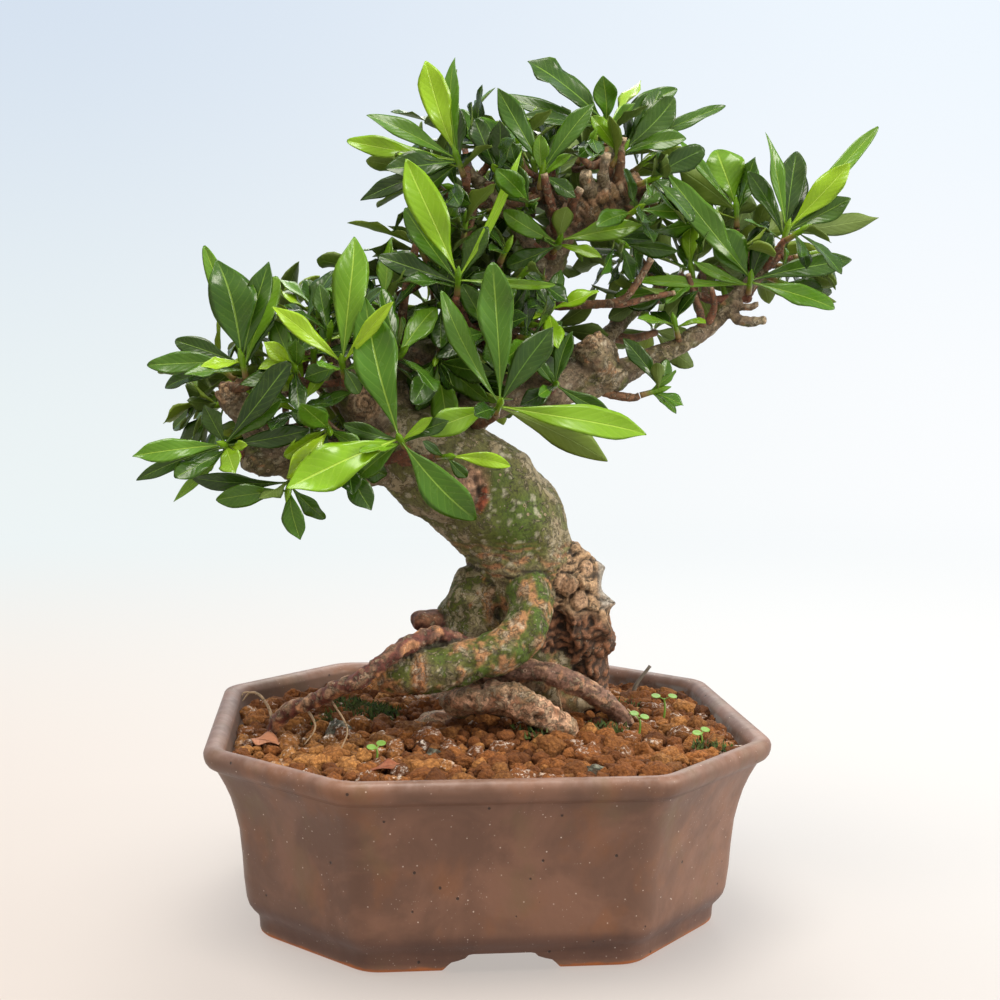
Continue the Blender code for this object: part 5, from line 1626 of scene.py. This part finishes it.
def add_sheet(sheets, points, corners, sizes, shade, uv=None):
    """Adds one mesh. Its faces' colour holds the numbers of shade, which the material reads."""
    start = sum(len(p) for p in sheets["points"])
    faces = np.ones((len(sizes), 4))
    for channel, value in enumerate(shade):
        faces[:, channel] = value
    for key, value in (("points", points), ("corners", corners + start), ("sizes", sizes),
                       ("shade", faces), ("uv", uv)):
        if value is not None:
            sheets[key].append(value)


def sheets_to_piece(name, sheets, shade_name):
    points, corners, sizes, shade = (np.concatenate(sheets[key])
                                     for key in ("points", "corners", "sizes", "shade"))
    mesh = bpy.data.meshes.new(name)
    mesh.vertices.add(len(points))
    mesh.vertices.foreach_set("co", (points * MM).reshape(-1).astype(np.float32))
    mesh.loops.add(len(corners))
    mesh.loops.foreach_set("vertex_index", corners.astype(np.int32))
    mesh.polygons.add(len(sizes))
    mesh.polygons.foreach_set("loop_start", (np.cumsum(sizes) - sizes).astype(np.int32))
    mesh.update(calc_edges=True)
    mesh.validate()
    if sheets["uv"]:
        mesh.uv_layers.new(name="UVMap").data.foreach_set(
            "uv", np.concatenate(sheets["uv"]).reshape(-1).astype(np.float32))
    mesh.attributes.new(shade_name, "FLOAT_COLOR", "FACE").data.foreach_set(
        "color", shade.reshape(-1).astype(np.float32))
    mesh.shade_smooth()
    return placed_mesh(name, mesh)


def add_leaf(sheets, leaf, master, draw, youth=1.0):
    """Adds one bent copy of the master, with its age, its chance and whether a face is below."""
    points, corners, sizes = master
    low, high = (age * youth for age in AGES[leaf[4]])
    age, chance = draw.uniform(low, high), draw.random()
    under = np.repeat(0.0, len(sizes))
    firsts = np.cumsum(sizes) - sizes
    under[points[corners[firsts], 2] + points[corners[firsts + 2], 2] < 0] = 1.0
    uv = np.stack([(points[corners, 0] + 1) / 2, (points[corners, 1] + 1) / 2], 1)
    add_sheet(sheets, bent_leaf(leaf, points, draw), corners, sizes, (age, chance, under), uv)


def add_stem(sheets, shoot, draw):
    """Adds the green shoot with its bud."""
    foot, top, way = shoot_frame(shoot)
    bud = top + way * BUD_LENGTH
    keys = [(*foot, SHOOT_RADIUS * 1.05), (*foot.lerp(top, 0.5), SHOOT_RADIUS * 0.9),
            (*top, SHOOT_RADIUS * 1.05), (*(top + way * 1.6), SHOOT_RADIUS * 0.85), (*bud, 0.2)]
    points, faces = tube(keys, 9, 4)
    corners = np.array([i for face in faces for i in face])
    sizes = np.array([len(face) for face in faces])
    heights = np.array([(Vector(points[i]) - foot).dot(way) / 14 for i in corners])
    add_sheet(sheets, np.array([tuple(p) for p in points]), corners, sizes,
              (STEM_AGE, draw.random(), 0.5), np.stack([heights, np.zeros(len(corners))], 1))


# %% [markdown]
# ## The leaves' finish
#
# A young gardenia leaf is yellow-green and an old one is a deep dark green, both with a wax gloss
# that catches the pale sky. The midrib is a raised pale line and the side veins are faint, each
# curving forward to the edge, with the blade quilted between them. The underside is a paler, duller
# olive. The same tree of nodes makes every leaf, from its age and its chance number, which its
# faces carry.

# %% The leaves' material
leafy = Paint("gardenia_leaf", Specular_IOR_Level=0.36)
age, chance, under = leafy.split(leafy.attribute("leaf"))
u, v, _ = leafy.split(leafy.place("UV"))
v = (v * 2 - 1).through("ABSOLUTE")
is_blade = under.step(0.45, 0.4).largest(under.step(0.55, 0.6))
back = under.step(0.7, 0.8)
shape = ((u ** 1.3) * pi).through("SINE").largest(0.08)
beside = v * shape
midrib = (beside - (1 - u) * 0.018).step(0.046, 0.018) * u.step(1.0, 0.8) * is_blade
veins = (u * 10.5 - beside * 1.9 - v * v * 0.7 + chance * 3).through("FRACT")
veins = (veins - 0.5).through("ABSOLUTE")
side_veins = veins.step(0.40, 0.485) * v.step(0.98, 0.8) * is_blade
mottle = leafy.noise(5, 2, 0.6)
old = leafy.mix(chance, (0.009, 0.032, 0.003), (0.026, 0.072, 0.005))
fresh = leafy.mix(chance, (0.045, 0.14, 0.008), (0.075, 0.19, 0.01))
young = leafy.mix(chance, (0.16, 0.33, 0.006), (0.26, 0.43, 0.012))
colour = leafy.coats(old, (age.step(0.1, 0.5), fresh), (age.step(0.5, 0.92), young))
pale_vein = leafy.mix(age, (0.11, 0.23, 0.035), (0.42, 0.62, 0.07))
below = leafy.mix(age, (0.08, 0.13, 0.022), (0.22, 0.32, 0.025))
below = leafy.mix(side_veins * 0.2 + midrib * 0.6, below, (0.22, 0.32, 0.07))
twig_end = (1 - is_blade) * u.step(0.45, 0.1)
colour = leafy.coats(
    colour, (mottle.step(0.35, 0.7) * 0.2, leafy.mix(0.4, colour, (0.12, 0.2, 0.012))),
    (side_veins * 0.13, pale_vein), (midrib * 0.66, pale_vein), (back, below),
    # a paler margin: partly the leaf's own pale edge, partly a painted highlight
    (v.step(0.93, 1.0) * is_blade * 0.25, (0.25, 0.4, 0.05)), (twig_end, (0.2, 0.13, 0.045)))
roughness = 0.2 + mottle * 0.12 + back * 0.3
quilt = veins.step(0.0, 0.5) * 0.2 + midrib * 1.0 + leafy.noise(7, 1) * 0.6
finish_leaf = leafy.finish(colour, roughness, quilt, 0.16)

# %% The sprays
SMALL_LEAF = 14
YOUTH = {"left": 0.95, "middle": 0.62, "crown": 0.45, "right": 0.62}


def leaves_piece(name, tufts, nodes, youth=1.0):
    """One piece of tufts. Leaves drawn one by one, if not small, get the finer master."""
    sheets = empty_sheets()
    for shoot, leaves in tufts:
        draw = random.Random(shoot[0] + "finish")
        add_stem(sheets, shoot, draw)
        for number, leaf in enumerate(leaves):
            fine = number < len(shoot[5]) and leaf[1].length > SMALL_LEAF
            add_leaf(sheets, leaf, fine_leaf if fine else plain_leaf, draw, youth)
    settle(sheets_to_piece(name, sheets, "leaf"), finish_leaf, nodes)


for shoot, leaves in plan:
    leaves_piece("leaves_" + shoot[0], [(shoot, leaves)], ["spray_" + shoot[0]])
for cloud, tufts in added.items():
    leaves_piece("more_leaves_" + cloud, [tuft[:2] for tuft in tufts], (), YOUTH[cloud])

# %% [markdown]
# ## The soil
#
# Fired clay grains fill the pot, from crumbs of 3 mm to lumps of 12 mm. Under them is a bed painted
# dark as the shade between the grains, extruded ring by ring like the pot, first up the inner wall
# and then inwards over the top, so that no gap between grains shows through.

# %% The bed
SOIL_EDGE = 65.5
SOIL_MOUND = 8.0
MOUND_CENTRE = Vector((26, 4))
MOUND_SPREAD = 52.0
BED_DEPTH = 2.4
BED_SHARES = (0.99, 0.93, 0.86, 0.78, 0.7, 0.62, 0.54, 0.46, 0.38, 0.3, 0.22, 0.14, 0.07, 0.02)
SOIL_INSET = INNER_WALL[-1][0]


def soil_height(x, y):
    spread = (Vector((x, y)) - MOUND_CENTRE).length / MOUND_SPREAD
    return SOIL_EDGE + SOIL_MOUND / (1 + spread ** 2) + 1.2 * noise.noise(Vector((x, y, 3)) * 0.03)


bed_rings = [octagon(inset + GAP, height) for inset, height in INNER_WALL]
for share in BED_SHARES:
    ring = [p * share for p in octagon(SOIL_INSET + GAP, 0)]
    for p in ring:
        p.z = soil_height(p.x, p.y) - BED_DEPTH + 1.2 * noise.noise(p / 6)
    bed_rings.append(ring)
bed = ring_stack("soil_bed", bed_rings)

# %% [markdown]
# ## The grains
#
# Broken clay has no two grains alike, but a handful of shapes turned every way looks as varied. A
# grain is an icosphere, flattened along a few random planes, which gives it broken faces, and
# roughened. The large lumps are laid first and the small ones fill what is left, never nearer to
# each other than their sizes allow.

# %% Grain shapes
def grain_shape(number, finer):
    bpy.ops.mesh.primitive_ico_sphere_add(subdivisions=3 if finer else 2, radius=1)
    grain = bpy.context.object
    draw = random.Random(SEED * 7 + number)
    planes = [(any_way(draw), draw.uniform(0.5, 0.85)) for _ in range(9)]
    shift = Vector((number * 3.7, 1.1, 0))
    for vertex in grain.data.vertices:
        p = vertex.co.copy()
        for normal, limit in planes:
            over = p.dot(normal) - limit
            if over > 0:
                p -= normal * over * 0.7
        rough = 0.28 * noise.noise(p * 1.9 + shift) + 0.24 * noise.noise(p * 4.3 + shift)
        if finer:
            rough += 0.13 * noise.noise(p * 8.5 + shift)
        vertex.co = p * (1.12 + rough)
    return taken_arrays(grain)


small_shapes = [grain_shape(k, False) for k in range(9)]
large_shapes = [grain_shape(k + 20, True) for k in range(7)]
print("grain shapes", len(small_shapes) + len(large_shapes))

# %% Laying the grains
GRAIN_SIZES = [(4.3, 6.0, 100, 1.0), (3.1, 4.4, 330, 0.6), (2.1, 3.1, 1150, 0.2),
               (1.3, 2.0, 800, -0.4)]
TRIES_FOR_EACH = 14
CELL = 12
WALL_X = (POT_HALF_X - SOIL_INSET) * (1 + RIM_FLARE)
WALL_Y = POT_HALF_Y - SOIL_INSET
CORNER_SLOPE = Vector((POT_CUT_Y, POT_CUT_X)).normalized()
CORNER_WALL = (CORNER_SLOPE.x * POT_HALF_X + CORNER_SLOPE.y * (POT_HALF_Y - POT_CUT_Y)
               - SOIL_INSET)
trunk_tree = as_tree(([v.co / MM for v in trunk_piece.data.vertices],
                      [tuple(p.vertices) for p in trunk_piece.data.polygons]))


def inside_pot(x, y, margin):
    return (abs(x) < WALL_X - margin and abs(y) < WALL_Y - margin
            and CORNER_SLOPE.x * abs(x) + CORNER_SLOPE.y * abs(y) < CORNER_WALL - margin)


def level(x, y):
    """How high the grains lie: fuller in front than at the back."""
    return soil_height(x, y) + 1.6 * edge_of(-40, -100, y) - 1.8 * edge_of(20, 90, y)


draw = random.Random(SEED + 2)
laid, cells = [], {}
for low, high, wanted, lift in GRAIN_SIZES:
    count = tries = 0
    while count < wanted and tries < wanted * TRIES_FOR_EACH:
        tries += 1
        radius = draw.uniform(low, high)
        x, y = draw.uniform(-WALL_X, WALL_X), draw.uniform(-WALL_Y, WALL_Y)
        if not inside_pot(x, y, radius * 0.8):
            continue
        z = level(x, y) + lift - 0.35 * radius + draw.uniform(-1.2, 0.9)
        column, row = int(x // CELL), int(y // CELL)
        near = [g for i in (-1, 0, 1) for j in (-1, 0, 1)
                for g in cells.get((column + i, row + j), ())]
        if any((g[0] - x) ** 2 + (g[1] - y) ** 2 + 0.6 * (g[2] - z) ** 2
               < (0.8 * (g[3] + radius)) ** 2 for g in near):
            continue
        found, normal, _, away = trunk_tree.find_nearest(Vector((x, y, z)))
        if away < radius * 0.75 or (Vector((x, y, z)) - found).dot(normal) < 0:
            continue
        count += 1
        laid.append((x, y, z, radius))
        cells.setdefault((column, row), []).append(laid[-1])
print("grains", len(laid))

# %% Making the grains
STONES = [(-25, -51), (-62, -13), (31, -78)]
YELLOW_GRAIN = (64, -68)
LARGE_GRAIN = 3.4


def grain_at(place, like_size=1):
    """The laid grain nearest to a place, the more so the nearer its radius is to 6 mm."""
    x, y = place
    return min(laid, key=lambda g: (g[0] - x) ** 2 + (g[1] - y) ** 2 + like_size * (6 - g[3]) ** 2)


grey_ones = [grain_at(place) for place in STONES]
yellow_one = grain_at(YELLOW_GRAIN, 9)
sheets = empty_sheets()
for x, y, z, radius in laid:
    points, corners, sizes = draw.choice(large_shapes if radius > LARGE_GRAIN else small_shapes)
    turn = Matrix.Rotation(draw.uniform(0, 6.3), 3, any_way(draw))
    stretch = np.array([draw.uniform(0.85, 1.2), draw.uniform(0.85, 1.15), draw.uniform(0.8, 1.0)])
    turned = (points * stretch * radius) @ np.array(turn).T
    turned[:, 2] *= 0.9
    triangles = turned[corners.reshape(-1, 3)]
    normals = np.cross(triangles[:, 1] - triangles[:, 0], triangles[:, 2] - triangles[:, 0])
    rise = normals[:, 2] / (np.linalg.norm(normals, axis=1) + 1e-9)
    height = triangles[:, :, 2].mean(axis=1) / radius
    corner_hue = 0.35 * exp(-((x + 70) ** 2 + (y + 35) ** 2) / 900)
    hue = min(1.0, max(0.0, draw.gauss(0.44, 0.16) + corner_hue + 0.08 * (radius > 4.4)))
    if (x, y, z, radius) in grey_ones:
        hue = -1.0
    if (x, y, z, radius) == yellow_one:
        hue = 1.0
    chance = draw.random()
    # white on the upward faces of some grains: salt, and in part a painted highlight
    gets_salt_and_glint = draw.random() < 0.15 + 0.2 * edge_of(30, -60, x)
    salt_and_glint_share = np.clip((rise - 0.15) * 1.6, 0, 1) * np.clip(height * 2, 0, 1) * gets_salt_and_glint
    add_sheet(sheets, turned + np.array([x, y, z]), corners, sizes, (hue, chance, salt_and_glint_share))
grains = sheets_to_piece("soil_grains", sheets, "grain")
print("soil_grains", len(grains.data.polygons), "faces")

# %% [markdown]
# ## The soil's finish
#
# The clay is orange-brown, some grains yellower and some darker, porous and quite dull. Where
# hard water dried, white salt stands on the tops, partly a painted highlight. The cracks between
# grains are painted nearly black, as painted shade.

# %% The soil's material
earth = Paint("fired_clay_grains", Specular_IOR_Level=0.3)
hue, chance, salt_and_glint_share = earth.split(earth.attribute("grain"))
pores = earth.noise(1.5, 5, 0.72)
lumps = earth.noise(5, 3, 0.6)
knobs = earth.cells(1.5)
# salt on the grains' tops, partly a painted highlight
salt_and_glint = salt_and_glint_share * earth.noise(2.0, 3, 0.7).step(0.5, 0.66)
# painted shade in the gaps between grains, found by the pointiness
shade_between_grains = earth.geometry("Pointiness").step(0.5, 0.44)
stone = earth.mix(lumps.step(0.4, 0.6), (0.05, 0.055, 0.04), (0.22, 0.23, 0.18))
colour = earth.mix(hue.step(0.0, 0.5), (0.1, 0.036, 0.011), (0.235, 0.086, 0.022))
colour = earth.mix(hue.step(0.4, 0.85), colour, (0.39, 0.185, 0.055))
contrast = earth.mix(chance, (0.62, 0.6, 0.58), (1.42, 1.4, 1.38))
colour = earth.coats(
    earth.mix(1.0, colour, contrast, "MULTIPLY"), (pores.step(0.62, 0.3) * 0.6, (0.07, 0.02, 0.006)),
    (lumps.step(0.5, 0.75) * 0.3, (0.27, 0.105, 0.022)), (hue.step(-0.2, -0.6), stone),
    (knobs.step(0.35, 0.75) * 0.45, (0.075, 0.024, 0.007)), (salt_and_glint * 0.7, (0.8, 0.72, 0.63)),
    (shade_between_grains * 0.85, (0.022, 0.008, 0.003)))
relief = pores * 1.1 + lumps * 0.5 + salt_and_glint * 0.3 - knobs * 0.9
finish_soil = earth.finish(colour, 0.88 + pores * 0.1 - salt_and_glint * 0.2, relief, 0.9)
# the bed's dark colour is painted shade, for the gaps between grains
shaded_bed = Paint("soil_bed")
bed_grain = shaded_bed.noise(2.5, 4, 0.6)
finish_bed = shaded_bed.finish(shaded_bed.mix(bed_grain, (0.028, 0.013, 0.006), (0.11, 0.045, 0.018)),
                         0.85 + bed_grain * 0.1, bed_grain, 0.8)
settle(bed, finish_bed, ["soil"])
settle(grains, finish_soil, ["soil"])

# %% [markdown]
# ## Moss and rootlets
#
# Moss grows in the damp shade beside the roots: hundreds of short pointed tufts, dark below and
# fresh at the tips. A few hair roots lie over the grains where the dark root goes down.

# %% Moss
MOSS = [(-49, 20, 11, 330), (-41, 8, 8, 200), (-55, 36, 7, 120), (20, -30, 9, 80),
        (84, -50, 6, 80), (48, -26, 7, 80), (60, 10, 7, 60), (-62, 4, 5, 50)]
THICK_MOSS = 100
spiky, spike_faces = [], []
draw = random.Random(SEED + 3)
for x0, y0, spread, count in MOSS:
    for _ in range(count):
        angle, away = draw.uniform(0, 2 * pi), spread * sqrt(draw.random())
        x, y = x0 + away * cos(angle) * 1.3, y0 + away * sin(angle)
        if not inside_pot(x, y, 2):
            continue
        heap = (3.2 if count > THICK_MOSS else 1) * (1 - away / spread)
        foot = Vector((x, y, level(x, y) + draw.uniform(-1.2, 1.2) + heap))
        lean = Vector((draw.gauss(0, 0.5), draw.gauss(0, 0.5), 1)).normalized()
        high, wide = draw.uniform(1.8, 3.8), draw.uniform(0.4, 0.75)
        start = len(spiky)
        side = lean.orthogonal().normalized()
        across = lean.cross(side)
        for k in range(4):
            turn = pi / 2 * k
            spiky.append(foot + (side * cos(turn) + across * sin(turn)) * wide)
        spiky.append(foot + lean * high)
        spike_faces += [(start + k, start + (k + 1) % 4, start + 4) for k in range(4)]
        spike_faces.append((start + 3, start + 2, start + 1, start))
moss = mesh_piece("moss", spiky, spike_faces, smooth=False)
green = Paint("moss")
tip = green.noise(1.6, 3).step(0.35, 0.7)
patch = green.noise(9, 2).step(0.4, 0.6)
moss_colour = green.mix(tip, (0.010, 0.026, 0.006), (0.07, 0.15, 0.02))
moss_colour = green.mix(patch * 0.4, moss_colour, (0.10, 0.10, 0.02))
finish_moss = green.finish(moss_colour, 0.8 + tip * 0.1, tip, 0.2)
settle(moss, finish_moss)

# %% Rootlets
ROOTLETS = [
    [(-82, -20, 70, 0.8), (-84, -16, 78, 0.7), (-88, -12, 83, 0.55), (-92, -9, 83.5, 0.45),
     (-95, -8, 80, 0.3)],
    [(-90, -10, 83.6, 0.4), (-94, -13, 84.5, 0.3), (-95, -15, 83, 0.2)],
    [(-70, -32, 83, 0.5), (-66, -36, 76, 0.4), (-70, -40, 70, 0.25)],
    [(-60, -36, 86, 0.45), (-54, -41, 76, 0.35), (-57, -45, 68, 0.25)],
    [(58, -15, 76, 0.4), (63, -20, 72, 0.35), (70, -21, 70, 0.2)],
    [(28, -21, 88, 0.3), (30, -25, 78, 0.25), (29, -27, 70, 0.2)],
]
ROOTLET_TINT = (0.4, 0.24, 0.13, 1)
rootlets = mesh_piece("rootlets",
                      *joined_shapes([tube(keys, 6, 6, 0.0, 0.3) for keys in ROOTLETS]))
store_tint(rootlets, ROOTLET_TINT * len(rootlets.data.vertices))
settle(rootlets, finish_bark)

# %% [markdown]
# ## Seedlings, fallen leaves and the stick
#
# Four seedlings stand in the grains, each on a bent thread of a stem with two round seed leaves.
# Dry leaves have blown in: one pinkish and folded like a roof, one red-brown and curled.

# %% Seedlings
SEEDLINGS = [(-44, -57, 9), (59, -32, 12), (74, -8, 15), (80, -47, 9)]


def round_leaf(centre, way, size, tilt):
    """One round seed leaf, dished a little, as points and faces."""
    bpy.ops.mesh.primitive_uv_sphere_add(segments=14, ring_count=7, radius=1)
    leaf = bpy.context.object
    face = (Vector((0, 0, 1)) + tilt).normalized()
    flat_way = (way - face * way.dot(face)).normalized()
    side = face.cross(flat_way)
    points = []
    for vertex in leaf.data.vertices:
        x, y, z = vertex.co
        notch = 1 - 0.16 * max(0.0, x) ** 6 * (1 - min(1.0, abs(y) * 3))
        points.append(centre + flat_way * (x * notch * size) + side * (y * size * 0.92)
                      + face * (z * 0.3 + 0.3 * (x * x + y * y)))
    faces = [tuple(p.vertices) for p in leaf.data.polygons]
    bpy.data.objects.remove(leaf, do_unlink=True)
    return points, faces


sprout = Paint("seedling", Coat_Weight=0.1)
soft = sprout.noise(1.4, 2)
sprout_colour = sprout.mix(soft, (0.09, 0.22, 0.02), (0.19, 0.34, 0.045))
finish_sprout = sprout.finish(sprout_colour, 0.4 + soft * 0.2, soft, 0.1)
for number, (x, y, height) in enumerate(SEEDLINGS, 1):
    ground = soil_height(x, y)
    top = Vector((x + 0.5, y, ground + height * 0.6))
    bend = Vector((x + 0.9, y - 0.3, ground + height * 0.3))
    shapes = [tube([(x, y, ground - 3.2, 0.5), (*bend, 0.42), (*top, 0.36)], 8, 5)]
    for k in range(2):
        angle = pi * k + number
        way = Vector((cos(angle), sin(angle), 0.2))
        stalk = [(*(top - Vector((0, 0, 0.6))), 0.3), (*(top + way * 1.9), 0.25)]
        shapes.append(tube(stalk, 6, 3))
        shapes.append(round_leaf(top + way * 3.4, way, 2.0, Vector((0.1 * k, -0.35, 0))))
    piece = mesh_piece("sprout_%d" % number, *joined_shapes(shapes))
    settle(piece, finish_sprout, ["seedling_%d" % number])

# %% Fallen leaves
dry = Paint("dry_leaf")
u, v, _ = dry.split(dry.place("UV"))
v = (v * 2 - 1).through("ABSOLUTE")
age = dry.split(dry.attribute("leaf"))[0]
blotch = dry.noise(3, 4, 0.65)
midrib = v.step(0.1, 0.03)
veins = ((u * 9 - v * 2).through("FRACT") - 0.5).through("ABSOLUTE").step(0.38, 0.48)
colour = dry.coats(
    dry.mix(age.step(0.3, 0.6), (0.19, 0.048, 0.015), (0.42, 0.175, 0.085)),
    (blotch.step(0.4, 0.7) * 0.5, (0.38, 0.17, 0.08)),
    (midrib * 0.6 + veins * 0.15, (0.2, 0.08, 0.04)))
finish_dry = dry.finish(colour, 0.55 + blotch * 0.25, blotch + midrib + veins * 0.3, 0.3)
FALLEN = [("fallen_leaf_left", (-93, -24), (13, -9), 9, "fresh", 0.28),
          ("fallen_leaf_front", (-47, -77), (14, 6), 6, "dark", 0.1)]
for name, (x, y), (reach_x, reach_y), width, tone, curl in FALLEN:
    draw = random.Random(name)
    reach = Vector((reach_x, reach_y, 0.8))
    base = Vector((x, y, level(x, y) + 1.6))
    leaf = (base, reach, Vector((0, -0.3, 1)), width, tone, curl, 0.3, 0.3)
    sheets = empty_sheets()
    add_leaf(sheets, leaf, fine_leaf, draw)
    settle(sheets_to_piece("dry_" + name, sheets, "leaf"), finish_dry, [name])

# %% The stick
STICK = (72, 40)
foot = soil_height(*STICK) - 4
stick_keys = [(*STICK, foot, 0.9), (*STICK, foot + 8, 0.9),
              (STICK[0] + 7, STICK[1] + 2, foot + 17, 0.75)]
stick = mesh_piece("dry_stick", *tube(stick_keys, 12, 6, 0.0, 0.25))
twiggy = Paint("dry_stick")
fibre = twiggy.noise(1.2, 4, 0.7, twiggy.stretched(1, 1, 0.2))
finish_stick = twiggy.finish(twiggy.mix(fibre, (0.06, 0.05, 0.04), (0.19, 0.16, 0.12)),
                             0.7 + fibre * 0.2, fibre, 0.3)
settle(stick, finish_stick, ["stick"])

# %% [markdown]
# ## The drain screen and its wire
#
# Both keep the shape of their solids, since nothing about them needs more. The screen is black
# plastic net, dusty with clay, and the wire is dull aluminium.

# %% Finishes for the solids that stay
plastic = Paint("screen_plastic")
dust = plastic.noise(6, 4, 0.6)
dusty = plastic.mix(dust.step(0.5, 0.75), (0.012, 0.012, 0.012), (0.12, 0.06, 0.03))
finish_plastic = plastic.finish(dusty, 0.5 + dust * 0.3, dust, 0.1)
metal = Paint("dull_aluminium", Metallic=1.0)
scratch = metal.noise(2, 4, 0.7, metal.stretched(0.3, 1, 1))
finish_metal = metal.finish(metal.mix(scratch, (0.45, 0.45, 0.46), (0.7, 0.7, 0.7)),
                            0.35 + scratch * 0.2, scratch, 0.05)
for name, finish in (("drain_screen", finish_plastic), ("screen_wire", finish_metal)):
    solid = bpy.data.objects[name]
    solid.data.materials.clear()
    solid.data.materials.append(finish)
    print(name, "keeps its solid")
